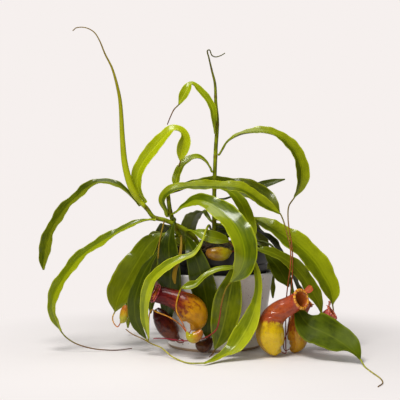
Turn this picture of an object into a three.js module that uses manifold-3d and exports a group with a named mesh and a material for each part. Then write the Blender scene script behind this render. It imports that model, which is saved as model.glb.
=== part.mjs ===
// A pitcher plant in a black nursery pot that stands in a pale speckled outer pot.
// Millimetres, +Z up. The origin is the middle of the outer pot's foot, and -Y is the front.
// Most of the plant is drawn on an upright sheet through the pot's axis, as seen by an eye in front:
// a point is [across, up, towards], with towards the distance in front of the sheet.

import * as THREE from 'three';
import { mergeVertices } from 'three/addons/utils/BufferGeometryUtils.js';
import Module from 'manifold-3d';

const wasm = await Module();
wasm.setup();

// Driving sizes
const EYE = { across: -19.5, away: 1100, height: 188 };
const GAP = 0.35;

const OUTER_POT = { height: 96, rim: 75.5, foot: 60, wall: 4, floor: 6, lip: 2 };
const NURSERY_POT = { height: 119, rim: 75, band: 17, step: 2.5, shoulder: 70.5, foot: 53, wall: 1.4 };
const DRAIN = { count: 6, radius: 4, ring: 34 };
const POT_SIDES = 30;

const SOIL = { below: 9, mound: 25, clearance: 0.5, sides: 26, rings: 6, lumps: 1.6, play: 0.6 };

const STEM = { sides: 8, spacing: 9 };
const BLADE = { edge: 0.42, rib: 0.8, spacing: 9.5, least: 8, most: 16, broad: 7 };
const COLUMNS = { broad: [-1, -0.5, 0, 0.5, 1], narrow: [-1, 0, 1] };
const PETIOLE = { half: 3.2, reach: 1.8, back: 7 };
const TENDRIL = { sides: 5, spacing: 11, sink: 2.5, start: 0.95, end: 0.62, above: 0.3 };
const PITCHER = { sides: 11, wall: 1.3, lip: 1.7, lipRise: 1.3, spacing: 7.5 };

// Shares of the lid's length and half width, and how far it arches over
const LID = {
  fold: -14,
  outline: [[-0.04, 0.35, 0], [0.3, 0.85, 0.04], [0.6, 1, 0.02], [0.85, 0.8, -0.03], [1, 0.2, -0.1]],
};
const SPUR = [[-0.6, -0.4, 0.9], [1.6, 0.6, 0.75], [4, 0.2, 0.45]];

const FRONT = new THREE.Vector3(0, -1, 0);
const UP = new THREE.Vector3(0, 0, 1);

// Colours, roughness and metalness
const FINISH = {
  outer: [0xe9e4da, 0.45],
  nursery: [0x1d1918, 0.5],
  soil: [0x3a2c1c, 0.95],
  stem: [0x7d8f1c, 0.45],
  leaf: [0x5f8412, 0.35],
  bright: [0x93ad16, 0.35],
  dark: [0x2f4c10, 0.3],
  young: [0xa9a51c, 0.4],
  withered: [0x8a5a26, 0.7],
  gold: [0xb98a1c, 0.35],
  maroon: [0x7c2430, 0.4],
};

function material([colour, roughness]) {
  return new THREE.MeshStandardMaterial({ color: colour, roughness, metalness: 0 });
}

// Places a point of the drawing sheet at its depth, on the line from the eye
function seen([across, up, towards]) {
  const near = (EYE.away - towards) / EYE.away;
  return new THREE.Vector3(
    EYE.across + (across - EYE.across) * near,
    -towards,
    EYE.height + (up - EYE.height) * near,
  );
}

// Passes a smooth curve through rows of numbers whose first three are a place, and samples it evenly
function smooth(rows, count) {
  const knots = [0];
  for (let i = 1; i < rows.length; i += 1) {
    const step = Math.hypot(...[0, 1, 2].map((k) => rows[i][k] - rows[i - 1][k]));
    knots.push(knots[i - 1] + Math.max(step, 0.01));
  }
  const last = rows.length - 1;
  const slope = (i, k) => {
    const before = Math.max(i - 1, 0);
    const after = Math.min(i + 1, last);
    return (rows[after][k] - rows[before][k]) / (knots[after] - knots[before]);
  };
  const samples = [];
  let piece = 0;
  for (let n = 0; n <= count; n += 1) {
    const at = (knots[last] * n) / count;
    while (piece < last - 1 && at > knots[piece + 1]) piece += 1;
    const span = knots[piece + 1] - knots[piece];
    const t = Math.min((at - knots[piece]) / span, 1);
    const rise = t * t * (3 - 2 * t);
    const leave = t * (1 - t) * (1 - t) * span;
    const arrive = t * t * (t - 1) * span;
    samples.push(rows[piece].map((value, k) => value + (rows[piece + 1][k] - value) * rise
      + slope(piece, k) * leave + slope(piece + 1, k) * arrive));
  }
  return samples;
}

function pathLength(rows) {
  let length = 0;
  for (let i = 1; i < rows.length; i += 1) {
    length += Math.hypot(...[0, 1, 2].map((k) => rows[i][k] - rows[i - 1][k]));
  }
  return length;
}

const vector = (row) => new THREE.Vector3(row[0], row[1], row[2]);

// The way along each sampled point, which at both ends is the way of the rows themselves
function directions(points, rows) {
  const along = points.map((point, i) => {
    const before = points[Math.max(i - 1, 0)];
    const after = points[Math.min(i + 1, points.length - 1)];
    return after.clone().sub(before).normalize();
  });
  along[0] = vector(rows[1]).sub(vector(rows[0])).normalize();
  along[along.length - 1] = vector(rows.at(-1)).sub(vector(rows.at(-2))).normalize();
  return along;
}

// Joins rings of points, alike in number, into one closed solid with flat ends
function loft(rings) {
  const around = rings[0].length;
  const vertices = rings.flat();
  const faces = [];
  for (let i = 0; i < rings.length - 1; i += 1) {
    for (let j = 0; j < around; j += 1) {
      const a = i * around + j;
      const b = i * around + ((j + 1) % around);
      faces.push([a, b, b + around], [a, b + around, a + around]);
    }
  }
  const end = (rings.length - 1) * around;
  for (let j = 1; j < around - 1; j += 1) {
    faces.push([0, j + 1, j], [end, end + j, end + j + 1]);
  }
  return solid(vertices, faces);
}

function solid(vertices, faces) {
  const mesh = new wasm.Mesh({
    numProp: 3,
    vertProperties: new Float32Array(vertices.flatMap((v) => [v.x, v.y, v.z])),
    triVerts: new Uint32Array(faces.flat()),
  });
  return new wasm.Manifold(mesh);
}

function fromGeometry(geometry) {
  const bare = geometry.clone();
  bare.deleteAttribute('normal');
  bare.deleteAttribute('uv');
  const merged = mergeVertices(bare, 1e-4);
  const index = Array.from(merged.index.array);
  const faces = [];
  for (let i = 0; i < index.length; i += 3) {
    const [a, b, c] = index.slice(i, i + 3);
    if (a !== b && b !== c && c !== a) faces.push([a, b, c]);
  }
  const place = merged.attributes.position;
  const vertices = Array.from(
    { length: place.count },
    (_, i) => new THREE.Vector3().fromBufferAttribute(place, i),
  );
  return solid(vertices, faces);
}

function toGeometry(manifold) {
  const mesh = manifold.getMesh();
  const places = new Float32Array((mesh.vertProperties.length / mesh.numProp) * 3);
  for (let i = 0; i < places.length / 3; i += 1) {
    for (let k = 0; k < 3; k += 1) places[i * 3 + k] = mesh.vertProperties[i * mesh.numProp + k];
  }
  const geometry = new THREE.BufferGeometry();
  geometry.setAttribute('position', new THREE.BufferAttribute(places, 3));
  geometry.setIndex(new THREE.BufferAttribute(new Uint32Array(mesh.triVerts), 1));
  geometry.computeVertexNormals();
  return geometry;
}

// A round tube whose rows are [x, y, z, radius]
function tube(rows, sides, spacing) {
  const count = Math.max(3, Math.round(pathLength(rows) / spacing));
  const samples = smooth(rows, count);
  const points = samples.map(vector);
  const along = directions(points, rows);
  let across = new THREE.Vector3().crossVectors(along[0], FRONT);
  if (across.length() < 0.3) across = new THREE.Vector3().crossVectors(along[0], UP);
  const rings = points.map((point, i) => {
    across = across.addScaledVector(along[i], -across.dot(along[i])).normalize();
    const other = new THREE.Vector3().crossVectors(along[i], across);
    return Array.from({ length: sides }, (_, j) => {
      const angle = (2 * Math.PI * j) / sides;
      return point.clone()
        .addScaledVector(across, samples[i][3] * Math.cos(angle))
        .addScaledVector(other, samples[i][3] * Math.sin(angle));
    });
  });
  return loft(rings);
}

// The blade's cross-section: a thin strip folded at its midrib, with a wave that grows to the edge
function bladeSection(half, fold, wave, columns) {
  const lift = Math.sin(THREE.MathUtils.degToRad(fold));
  const spread = Math.cos(THREE.MathUtils.degToRad(fold));
  const rib = Math.min(half, BLADE.rib + 1.2 / half);
  const line = columns.map((v) => new THREE.Vector2(
    half * spread * v,
    half * lift * Math.abs(v) ** 1.3 + (v < 0 ? wave[0] : wave[1]) * v * v,
  ));
  const top = [];
  const bottom = [];
  line.forEach((place, i) => {
    const before = line[Math.max(i - 1, 0)];
    const after = line[Math.min(i + 1, line.length - 1)];
    const slope = after.clone().sub(before).normalize();
    const normal = new THREE.Vector2(-slope.y, slope.x);
    const body = BLADE.edge + (rib - BLADE.edge) * (1 - Math.abs(columns[i])) ** 1.5;
    top.push(place.clone().addScaledVector(normal, body));
    bottom.unshift(place.clone().addScaledVector(normal, -body));
  });
  return [...bottom, ...top].reverse();
}

// A blade along rows of [x, y, z, half width, lean]. At lean 0 its upper face looks up and outwards,
// and at 90 it looks at the viewer. bend is 1 where the leaf arches to the viewer's right, else -1.
function blade(rows, { bend, fold, wave, length, phase, view }) {
  const count = THREE.MathUtils.clamp(Math.round(pathLength(rows) / BLADE.spacing), BLADE.least, BLADE.most);
  const samples = smooth(rows, count);
  const points = samples.map(vector);
  const along = directions(points, rows);
  const broad = Math.max(...rows.map((row) => row[3])) > BLADE.broad;
  const columns = broad ? COLUMNS.broad : COLUMNS.narrow;
  const rings = points.map((point, i) => {
    const [half, lean] = [Math.max(samples[i][3], 0.75), THREE.MathUtils.degToRad(samples[i][4])];
    const facing = view.clone().addScaledVector(along[i], -view.dot(along[i])).normalize();
    const outer = new THREE.Vector3().crossVectors(facing, along[i]).multiplyScalar(bend);
    const normal = outer.multiplyScalar(Math.cos(lean)).addScaledVector(facing, Math.sin(lean));
    const side = new THREE.Vector3().crossVectors(normal, along[i]);
    const wide = Math.min(half / 8, 1);
    const turn = (2 * Math.PI * i * pathLength(rows)) / (count * length) + phase;
    const waves = [Math.sin(turn), Math.sin(turn + 2)].map((s) => s * wave * wide);
    const openness = THREE.MathUtils.clamp((half - 1.3) / 3, 0, 1);
    return bladeSection(half, fold * openness, waves, columns).map((place) => point.clone()
      .addScaledVector(side, place.x)
      .addScaledVector(normal, place.y));
  });
  return loft(rings);
}

// Pots
function turned(profile) {
  const points = profile.map(([radius, height]) => new THREE.Vector2(radius, height));
  const geometry = new THREE.LatheGeometry(points, POT_SIDES);
  geometry.rotateX(Math.PI / 2);
  const body = fromGeometry(geometry);
  return body.volume() < 0 ? fromGeometry(geometry.scale(-1, 1, 1)) : body;
}

function outerPot() {
  const { height, rim, foot, wall, floor, lip } = OUTER_POT;
  return turned([
    [0, 0], [foot - 1.5, 0], [foot + 1.5, 4],
    [rim - 1.5, height - 8], [rim, height - lip], [rim - 1, height],
    [rim - wall + 1, height], [rim - wall, height - lip], [foot - wall, floor + 3],
    [foot - wall - 4, floor], [0, floor],
  ]);
}

function nurseryPot() {
  const { height, rim, band, step, shoulder, foot, wall } = NURSERY_POT;
  const base = OUTER_POT.floor + GAP;
  const top = base + height;
  const body = turned([
    [0, base], [foot - 2, base], [foot, base + 3], [shoulder - step, top - band - 2],
    [shoulder, top - band], [rim - 1, top - 2], [rim, top],
    [rim - wall - 1, top], [shoulder - wall, top - band + 1],
    [shoulder - step - wall, top - band - 2.5], [foot - wall, base + 4],
    [foot - wall - 3, base + wall], [0, base + wall],
  ]);
  const drains = Array.from({ length: DRAIN.count }, (_, i) => {
    const hole = new THREE.CylinderGeometry(DRAIN.radius, DRAIN.radius, 8, 10);
    hole.rotateX(Math.PI / 2);
    const angle = (2 * Math.PI * i) / DRAIN.count;
    hole.translate(DRAIN.ring * Math.cos(angle), DRAIN.ring * Math.sin(angle), base + wall / 2);
    return fromGeometry(hole);
  });
  return drains.reduce((pot, hole) => pot.subtract(hole), body);
}

// Growing medium: a rough mound with a plain hole for each stem
function soil(holes) {
  const { height, band, step, shoulder, foot, wall } = NURSERY_POT;
  const base = OUTER_POT.floor + GAP;
  const top = base + height - SOIL.below;
  const inside = shoulder - step - wall - SOIL.clearance;
  const floorRadius = foot - wall - 3 - SOIL.clearance;
  const wallTop = base + height - band - 4;
  const bed = [];
  for (let j = 0; j < SOIL.sides; j += 1) {
    const angle = (2 * Math.PI * j) / SOIL.sides;
    const ring = [[floorRadius - 1, base + wall + GAP], [inside - 0.4, wallTop], [inside - 0.4, top - 3]];
    for (let i = 1; i < SOIL.rings; i += 1) {
      const share = 1 - i / SOIL.rings;
      const lump = Math.sin(3 * angle + 4 * i) + Math.sin(5 * angle - 2.3 * i);
      const rise = SOIL.mound * (1 - share ** 1.6) ** 1.3;
      ring.push([inside * share, top - 3 + rise + SOIL.lumps * lump * share]);
    }
    bed.push(ring.map(([radius, up]) => new THREE.Vector3(
      radius * Math.cos(angle),
      radius * Math.sin(angle),
      up,
    )));
  }
  const rings = bed[0].map((_, i) => bed.map((spoke) => spoke[i]));
  return holes.reduce((body, hole) => body.subtract(hole), loft(rings));
}

// Stems: rows of [across, up, towards, radius]
const STEM_ROUTES = {
  climbing_stem: [
    [-1, 112, 0, 2.9], [-1, 136, 0, 2.9], [-1, 165, 0, 2.8], [-1, 194, 0, 2.7], [0, 231, 0, 2.6],
    [1, 256, 0, 2.6], [3, 290, 0, 2.4], [1, 314, 0, 2.1], [0, 339, 0, 1.7], [-4, 356, 0, 1.3],
    [-8, 373, 0, 1.0], [-10, 382, 0, 0.9], [-7, 383, 0, 0.8], [-4, 376, 0, 0.75], [1, 374, 0, 0.7],
    [8, 376, 0, 0.65], [13, 379, 0, 0.6],
  ],
  leaning_stem: [
    [-36, 106, 12, 3.2], [-42, 133, 16, 3.2], [-51, 152, 20, 3.1], [-57, 168, 22, 2.9],
    [-60, 184, 24, 2.7], [-61, 197, 24, 2.4],
  ],
  side_stem: [
    [-17, 112, 34, 3.0], [-24, 135, 36, 3.0], [-35, 147, 37, 2.9], [-56, 158, 38, 2.8],
    [-66, 162, 39, 2.8], [-80, 166, 40, 2.7], [-88, 176, 40, 2.7], [-95, 184, 40, 2.9],
  ],
};

function stemRows(name, thicker = 0) {
  return STEM_ROUTES[name].map((row) => [...seen(row).toArray(), row[3] + thicker]);
}

// The hole goes a little deeper and wider than the stem that stands in it
function stemHole(name) {
  const rows = stemRows(name, SOIL.play).slice(0, 4);
  const deeper = rows[0].map((value, k) => value + (k < 3 ? (value - rows[1][k]) * 0.1 : 0));
  return tube([deeper, ...rows], STEM.sides, STEM.spacing / 2);
}

const stems = Object.fromEntries(Object.keys(STEM_ROUTES).map((name) => [name, {
  body: tube(stemRows(name), STEM.sides, STEM.spacing),
  hole: stemHole(name),
  line: smooth(stemRows(name), 200),
}]));

// The point just off a stem's bark on the side of a place, and the way out from it.
// The leaf rises or falls to the place from a little further back along its own first stretch.
function seat(stem, place, next) {
  const line = stems[stem].line;
  const start = place.clone().addScaledVector(place.clone().sub(next).normalize(), PETIOLE.back);
  const nearest = line.reduce((best, row) => (
    vector(row).distanceTo(start) < vector(best).distanceTo(start) ? row : best));
  const i = Math.max(1, line.indexOf(nearest));
  const along = vector(line[i]).sub(vector(line[i - 1])).normalize();
  const out = place.clone().sub(vector(nearest));
  out.addScaledVector(along, -out.dot(along)).normalize();
  return { point: vector(nearest).addScaledVector(out, nearest[3] + GAP), out };
}

// Pitchers: rows of [across, up, towards, radius] from the tendril's end to the mouth.
// An open one has a hollow body, a rim and a lid; a young one is still shut.
const PITCHERS = {
  pitcher_front_right: {
    finish: 'gold',
    open: true,
    mouth: [0.62, -0.72, 0.3],
    rows: [
      [86, -9, 84, 1.3], [80, -6, 84, 10], [75, 4, 84, 15], [72, 15, 84, 16.5], [72, 27, 84, 15.3],
      [77, 37, 84, 13.8], [86, 45, 85, 12.3], [96, 50, 87, 11.3], [105, 55, 89, 11], [112, 59, 93, 11.3],
    ],
    lid: { hinge: [0.65, 0.3, 0.7], length: 12, half: 4.6 },
  },
  pitcher_behind_right: {
    finish: 'gold',
    open: true,
    mouth: [0.5, 0.4, 0.75],
    rows: [
      [97, -6, 60, 1.3], [101, -5, 60, 6.5], [107, 3, 60, 11], [107, 14, 60, 12.5], [107, 25, 60, 12],
      [109, 37, 59, 9.5], [113, 46, 57, 8.6], [117, 55, 55, 8.8],
    ],
    lid: { hinge: [0.6, 0.8, 0.2], length: 13, half: 6 },
  },
  pitcher_far_right: {
    finish: 'maroon',
    open: true,
    mouth: [0.75, -0.25, 0.6],
    rows: [
      [130, 12, 46, 1.3], [133, 10, 46, 5.5], [138, 14, 46, 9], [140, 21, 46, 9.8], [141, 29, 46, 8.5],
      [145, 36, 46, 7.6], [152, 41, 46, 8],
    ],
    lid: { hinge: [-0.3, 0.2, 0.9], length: 9, half: 4.2 },
  },
  pitcher_front_left: {
    finish: 'gold',
    open: true,
    mouth: [-0.85, -0.25, 0.45],
    rows: [
      [-31, 19, 90, 1.3], [-26, 25, 90, 9], [-25, 34, 90, 14.5], [-29, 43, 90, 17], [-37, 51, 90, 15.5],
      [-46, 57, 89, 12.5], [-56, 61, 87, 10.5], [-66, 64, 85, 10], [-77, 66, 82, 10.3],
    ],
    lid: { hinge: [0.2, 0.5, 0.8], length: 17, half: 7.5 },
  },
  pitcher_young_left: {
    finish: 'gold',
    open: false,
    rows: [
      [-37, 17, 104, 1], [-34, 11, 104, 4], [-29, 9, 104, 6.5], [-24, 11, 104, 6.3], [-20, 15, 104, 4.6],
      [-18, 19, 104, 2],
    ],
  },
  pitcher_dark_middle: {
    finish: 'maroon',
    open: false,
    rows: [
      [-25, 4, 76, 1.2], [-20, 0, 76, 6.5], [-14, -2, 76, 8], [-9, 2, 76, 6.5], [-5, 9, 76, 3],
    ],
  },
  pitcher_in_shade: {
    finish: 'maroon',
    open: false,
    rows: [
      [-46, 8, 60, 1.2], [-52, 11, 60, 8], [-60, 20, 59, 12], [-67, 30, 58, 11.5], [-73, 40, 57, 8.5],
      [-77, 46, 57, 4],
    ],
  },
  pitcher_far_left: {
    finish: 'gold',
    open: false,
    rows: [
      [-123, 28, 46, 1], [-120, 32, 46, 4.6], [-118, 39, 46, 5.6], [-117, 46, 46, 4.6], [-116, 51, 46, 2],
    ],
  },
  pitcher_at_rim: {
    finish: 'gold',
    open: false,
    rows: [
      [22, 121, 85, 1.2], [18, 120, 85, 5], [11, 118, 86, 8], [3, 118, 87, 8.3], [-5, 119, 87, 7],
      [-11, 121, 86, 3.5],
    ],
  },
};

const pitcherRows = (name) => PITCHERS[name].rows.map((row) => [...seen(row).toArray(), row[3]]);

// Rings square to the body's line, turning into the mouth's own slant over the last third
function pitcherRings(name, thinner, from, to) {
  const rows = pitcherRows(name);
  const count = Math.round(pathLength(rows) / PITCHER.spacing);
  const samples = smooth(rows, count);
  const points = samples.map(vector);
  const along = directions(points, rows);
  const mouth = new THREE.Vector3(...(PITCHERS[name].mouth ?? along[count].toArray())).normalize();
  let across = new THREE.Vector3().crossVectors(along[0], FRONT);
  const rings = [];
  for (let i = 0; i <= count; i += 1) {
    const slant = Math.max(0, (i / count - 0.75) / 0.25) ** 2;
    const facing = along[i].clone().lerp(mouth, slant).normalize();
    across = across.addScaledVector(facing, -across.dot(facing)).normalize();
    const other = new THREE.Vector3().crossVectors(facing, across);
    const radius = samples[i][3] - thinner;
    if (i >= from && i <= count - to) {
      rings.push(Array.from({ length: PITCHER.sides }, (_, j) => {
        const angle = (2 * Math.PI * j) / PITCHER.sides;
        return points[i].clone()
          .addScaledVector(across, radius * Math.cos(angle))
          .addScaledVector(other, radius * Math.sin(angle));
      }));
    }
  }
  return { rings, mouth, rim: points[count] };
}

function pitcher(name) {
  const { open, lid } = PITCHERS[name];
  const outside = pitcherRings(name, 0, 0, 0);
  if (!open) return loft(outside.rings);
  const last = outside.rings.at(-1);
  const grown = (by, rise) => last.map((point) => {
    const out = point.clone().sub(outside.rim).normalize();
    return point.clone().addScaledVector(out, by).addScaledVector(outside.mouth, rise);
  });
  const inside = pitcherRings(name, PITCHER.wall, 2, 0).rings.reverse();
  const body = loft([
    ...outside.rings, grown(PITCHER.lip, PITCHER.lipRise * 0.3), grown(PITCHER.lip * 0.7, PITCHER.lipRise),
    grown(-PITCHER.wall, PITCHER.lipRise * 0.6), ...inside,
  ]);
  return body.add(pitcherLid(outside, lid)).add(pitcherSpur(outside, lid));
}

// The lid stands on the rim's back as a small arched leaf, with a short spur behind it
function hingeLine({ mouth, rim, rings }, { hinge }) {
  const back = new THREE.Vector3(...hinge);
  back.addScaledVector(mouth, -back.dot(mouth)).normalize();
  const radius = rings.at(-1)[0].distanceTo(rim);
  return { back, foot: rim.clone().addScaledVector(back, radius), across: mouth.clone().cross(back) };
}

function pitcherLid(outside, lid) {
  const { back, foot, across } = hingeLine(outside, lid);
  const rows = LID.outline.map(([share, width, over]) => [
    ...foot.clone()
      .addScaledVector(back, lid.length * share * 0.7)
      .addScaledVector(outside.mouth, lid.length * (share * 0.75 + over))
      .toArray(),
    lid.half * width,
    0,
  ]);
  return blade(rows, { bend: 1, fold: LID.fold, wave: 0, length: lid.length, phase: 0, view: across });
}

function pitcherSpur(outside, lid) {
  const { back, foot } = hingeLine(outside, lid);
  const rows = SPUR.map(([outwards, upwards, radius]) => [
    ...foot.clone().addScaledVector(back, outwards).addScaledVector(outside.mouth, upwards).toArray(),
    radius,
  ]);
  return tube(rows, 4, 2);
}

// Leaves
//
// blade rows are [across, up, towards, half width, lean]; tendril rows are [across, up, towards].
// from names the stem that the leaf grows on, and feeds the pitcher that its tendril ends at.
const LEAVES = [];
const leaf = (name, finish, from, bend, options, rows, tendril = []) => {
  LEAVES.push({ name, finish, from, bend, rows, tendril, fold: 18, wave: 1.4, length: 42, ...options });
};

leaf('leaf_top_left', 'bright', 'climbing_stem', -1, { fold: 25, wave: 0.5 }, [
  [-1, 282, 7, 1.6, 50], [-2, 294, 8, 4.4, 60], [-4, 307, 8, 5.6, 62], [-11, 320, 8, 5.6, 58],
  [-21, 331, 8, 5.8, 50], [-30, 339, 9, 5, 34], [-35, 333, 10, 7, 62], [-41, 323, 11, 6.4, 75],
  [-47, 312, 11, 1, 70],
], [[-53, 306, 11], [-58, 296, 11], [-62, 286, 11]]);

leaf('leaf_top_right', 'leaf', 'climbing_stem', 1, { fold: 22, wave: 0.9, feeds: 'pitcher_behind_right' }, [
  [9, 253, 1, 1.4, 10], [16, 264, 2, 2.4, 20], [32, 273, 4, 5.5, 22], [47, 276, 6, 8.5, 26],
  [64, 276, 8, 10, 30], [81, 271, 10, 11, 36], [97, 258, 12, 11.5, 44], [108, 241, 13, 12, 52],
  [112, 223, 14, 11.5, 56], [110, 207, 14, 8.5, 55], [103, 191, 14, 1, 50],
], [[96, 180, 16], [95, 164, 22], [97, 146, 34], [100, 128, 50], [101, 104, 66], [100, 84, 72], [98, 64, 73],
  [97, 48, 71], [95, 20, 68], [89, 2, 63]]);

leaf('leaf_top_back', 'bright', 'climbing_stem', -1, { fold: 25, wave: 0.6 }, [
  [-6, 230, 4, 1.8, 20], [-12, 238, 5, 3.4, 25], [-21, 243, 6, 5.2, 30], [-32, 241, 9, 6.6, 38],
  [-42, 232, 13, 7.2, 44], [-48, 220, 16, 7, 50], [-50, 212, 18, 5.6, 60], [-51, 203, 19, 1, 60],
]);

leaf('leaf_rolled_tall', 'young', 'side_stem', -1, { rolled: true }, [
  [-97, 186, 45, 2.8, 0], [-103, 194, 48, 3.8, 0], [-110, 208, 49, 4.2, 0], [-117, 235, 49, 3.8, 0],
  [-120, 265, 49, 3.2, 0], [-123, 314, 49, 2.3, 0], [-127, 336, 49, 1.8, 0], [-134, 360, 49, 1.3, 0],
  [-143, 378, 49, 1.0, 0], [-150, 395, 49, 0.8, 0], [-157, 406, 49, 0.7, 0], [-168, 412, 49, 0.65, 0],
  [-180, 412, 49, 0.62, 0], [-185, 408, 49, 0.6, 0],
]);

leaf('leaf_folded_tip', 'bright', 'side_stem', 1, { fold: 26, wave: 0.7 }, [
  [-94, 192, 38, 3.2, 55], [-100, 205, 37, 6.6, 66], [-100, 222, 36, 8.4, 72], [-91, 240, 36, 9.2, 72],
  [-79, 255, 36, 9.6, 68], [-66, 269, 36, 9.4, 58], [-55, 279, 36, 8, 40], [-46, 278, 36, 7, 28],
  [-41, 270, 36, 8.5, 50], [-42, 258, 36, 9.5, 72], [-44, 248, 36, 7, 75], [-45, 239, 36, 1, 75],
], [[-46, 235, 36], [-47, 231, 36]]);

leaf('leaf_arch_far_left', 'leaf', 'side_stem', -1, { fold: 20, wave: 1.6 }, [
  [-103, 187, 38, 2.4, 20], [-118, 201, 37, 5, 30], [-134, 210, 36, 6, 34], [-150, 211, 35, 7, 36],
  [-165, 204, 34, 8, 40], [-181, 190, 33, 9, 45], [-196, 174, 32, 10, 46], [-209, 154, 31, 10.5, 48],
  [-217, 132, 30, 11, 50], [-221, 113, 30, 10, 55], [-223, 97, 31, 1.2, 60],
]);

leaf('leaf_long_left', 'leaf', 'side_stem', -1, { fold: 24, wave: 1.5 }, [
  [-84, 163, 46, 1.8, 20], [-96, 160, 48, 4, 30], [-117, 151, 50, 6.5, 36], [-142, 136, 52, 8, 42],
  [-165, 121, 53, 9, 46], [-181, 106, 54, 9.5, 50], [-195, 87, 55, 10, 52], [-208, 64, 56, 9.5, 54],
  [-210, 45, 56, 8, 56], [-205, 29, 56, 5, 50], [-200, 17, 56, 1, 40],
], [[-193, 9, 55], [-180, 1, 52], [-160, -5, 50], [-141, -7, 47], [-125, -7, 46], [-108, -5, 44]]);

leaf('leaf_across_front', 'bright', 'leaning_stem', 1, {
  fold: 16, wave: 1.2, feeds: 'pitcher_front_right',
}, [
  [-64, 175, 25, 3, 60], [-69, 187, 29, 4.8, 66], [-64, 197, 33, 6, 58], [-52, 203, 34, 6.8, 46],
  [-30, 206, 31, 7.8, 42], [-2, 206, 28, 8.5, 44],
  [30, 204, 28, 9, 44], [47, 196, 28, 9, 48], [64, 183, 28, 8, 52], [76, 175, 28, 5, 52],
  [85, 170, 29, 1, 50],
], [[90, 158, 36], [94, 143, 50], [98, 126, 66], [98, 102, 78], [95, 80, 77], [93, 62, 71], [92, 48, 69],
  [92, 22, 76], [92, -3, 83]]);

leaf('leaf_across_back', 'dark', 'leaning_stem', 1, { fold: 14, wave: 1.6 }, [
  [-46, 201, 8, 3, 30], [-36, 206, 0, 6, 40], [-20, 209, -10, 9, 46], [1, 209, -20, 11, 50],
  [22, 206, -22, 13, 52], [42, 201, -20, 15.5, 54], [61, 192, -16, 16, 56], [75, 181, -10, 9, 56],
  [84, 172, -6, 1, 50],
]);

leaf('leaf_glimpse_right', 'dark', 'climbing_stem', 1, { fold: 15, wave: 0.6 }, [
  [14, 190, -12, 1.5, 20], [33, 197, -48, 4, 40], [48, 203, -52, 6, 55], [64, 208, -54, 6, 60],
  [78, 212, -55, 4, 60], [91, 215, -55, 1, 50],
]);

leaf('leaf_great_front', 'leaf', 'leaning_stem', 1, { fold: 18, wave: 1.4 }, [
  [-50, 173, 36, 2, 30], [-42, 179, 42, 4.5, 42], [-26, 187, 52, 8, 55], [-9, 184, 66, 11, 60],
  [9, 172, 82, 14.5, 62], [25, 156, 95, 16, 64], [35, 136, 104, 16.5, 66], [38, 116, 108, 16, 66],
  [33, 97, 108, 12, 66], [20, 81, 107, 1.2, 60],
], [[14, 72, 106], [9, 55, 104], [6, 35, 103], [2, 20, 103], [-7, 12, 103], [-19, 7, 100], [-41, 5, 92],
  [-66, 8, 84], [-80, 8, 80]]);

leaf('leaf_second_front', 'leaf', 'climbing_stem', 1, { fold: 14, wave: 0.9 }, [
  [8, 203, 4, 2.5, 30], [22, 197, 8, 6.5, 52], [35, 181, 13, 9, 62], [43, 159, 18, 10, 68],
  [47, 146, 22, 7, 70], [49, 135, 25, 1, 70],
]);

leaf('leaf_right_outer', 'leaf', 'climbing_stem', 1, { fold: 15, wave: 1.8, feeds: 'pitcher_far_right' }, [
  [22, 166, 6, 1.8, 10], [54, 162, 2, 7, 35], [72, 153, 11, 12, 44], [91, 141, 17, 15.5, 50],
  [110, 127, 21, 17, 54], [127, 110, 25, 17.5, 56], [140, 90, 28, 17, 58], [150, 71, 31, 13.5, 58],
  [153, 52, 33, 1.2, 55],
], [[154, 36, 34], [147, 22, 31], [132, 14, 33]]);

leaf('leaf_right_inner', 'leaf', 'climbing_stem', 1, { fold: 16, wave: 1.4 }, [
  [14, 154, 17, 1.5, 10], [38, 140, 38, 1.5, 10], [51, 129, 60, 2, 20], [58, 124, 68, 4, 40],
  [74, 119, 68, 7, 48], [96, 107, 62, 9.5, 52], [110, 93, 58, 11.5, 54], [125, 71, 56, 11, 56],
  [134, 54, 56, 7, 56], [139, 40, 56, 1, 55],
]);

leaf('leaf_right_under', 'dark', 'climbing_stem', 1, { fold: 10, wave: 0.8 }, [
  [17, 148, 11, 1.5, 10], [44, 135, 30, 1.5, 10], [60, 127, 49, 2, 20], [70, 113, 56, 5, 50],
  [80, 102, 60, 11.5, 62], [88, 90, 61, 11.5, 66], [96, 75, 62, 1, 60],
]);

leaf('leaf_floor_right', 'dark', 'climbing_stem', 1, { fold: 12, wave: 2.0 }, [
  [17, 141, 4, 1.5, 10], [48, 136, 16, 1.5, 10], [72, 130, 28, 1.6, 20], [88, 108, 38, 2.6, 40],
  [98, 82, 54, 3, 50], [103, 60, 69, 3, 60], [110, 40, 77, 8.5, 66], [122, 25, 88, 18, 66],
  [138, 17, 95, 21.5, 62], [157, 7, 103, 20.5, 56], [175, -6, 116, 15, 45], [189, -19, 134, 1.2, 20],
], [[195, -29, 152], [204, -36, 182], [215, -44, 214], [218, -50, 236], [212, -55, 252]]);

leaf('leaf_floor_front', 'bright', 'climbing_stem', -1, { fold: 20, wave: 1.4 }, [
  [12, 160, 20, 1.5, 0], [32, 143, 44, 1.5, 0], [43, 128, 67, 1.6, 20], [49, 113, 82, 2.4, 50],
  [55, 96, 88, 4, 60], [57, 76, 92, 5, 66], [54, 54, 95, 6.5, 68], [46, 30, 98, 11.5, 68],
  [36, 11, 102, 13, 62], [22, -7, 108, 10, 48], [4, -18, 121, 5, 20], [-14, -24, 141, 1.2, 10],
], [[-34, -24, 131], [-47, -20, 112], [-58, -14, 96], [-70, -4, 84], [-82, 1, 76], [-95, 8, 70],
  [-108, 14, 66], [-116, 20, 64]]);

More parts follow.
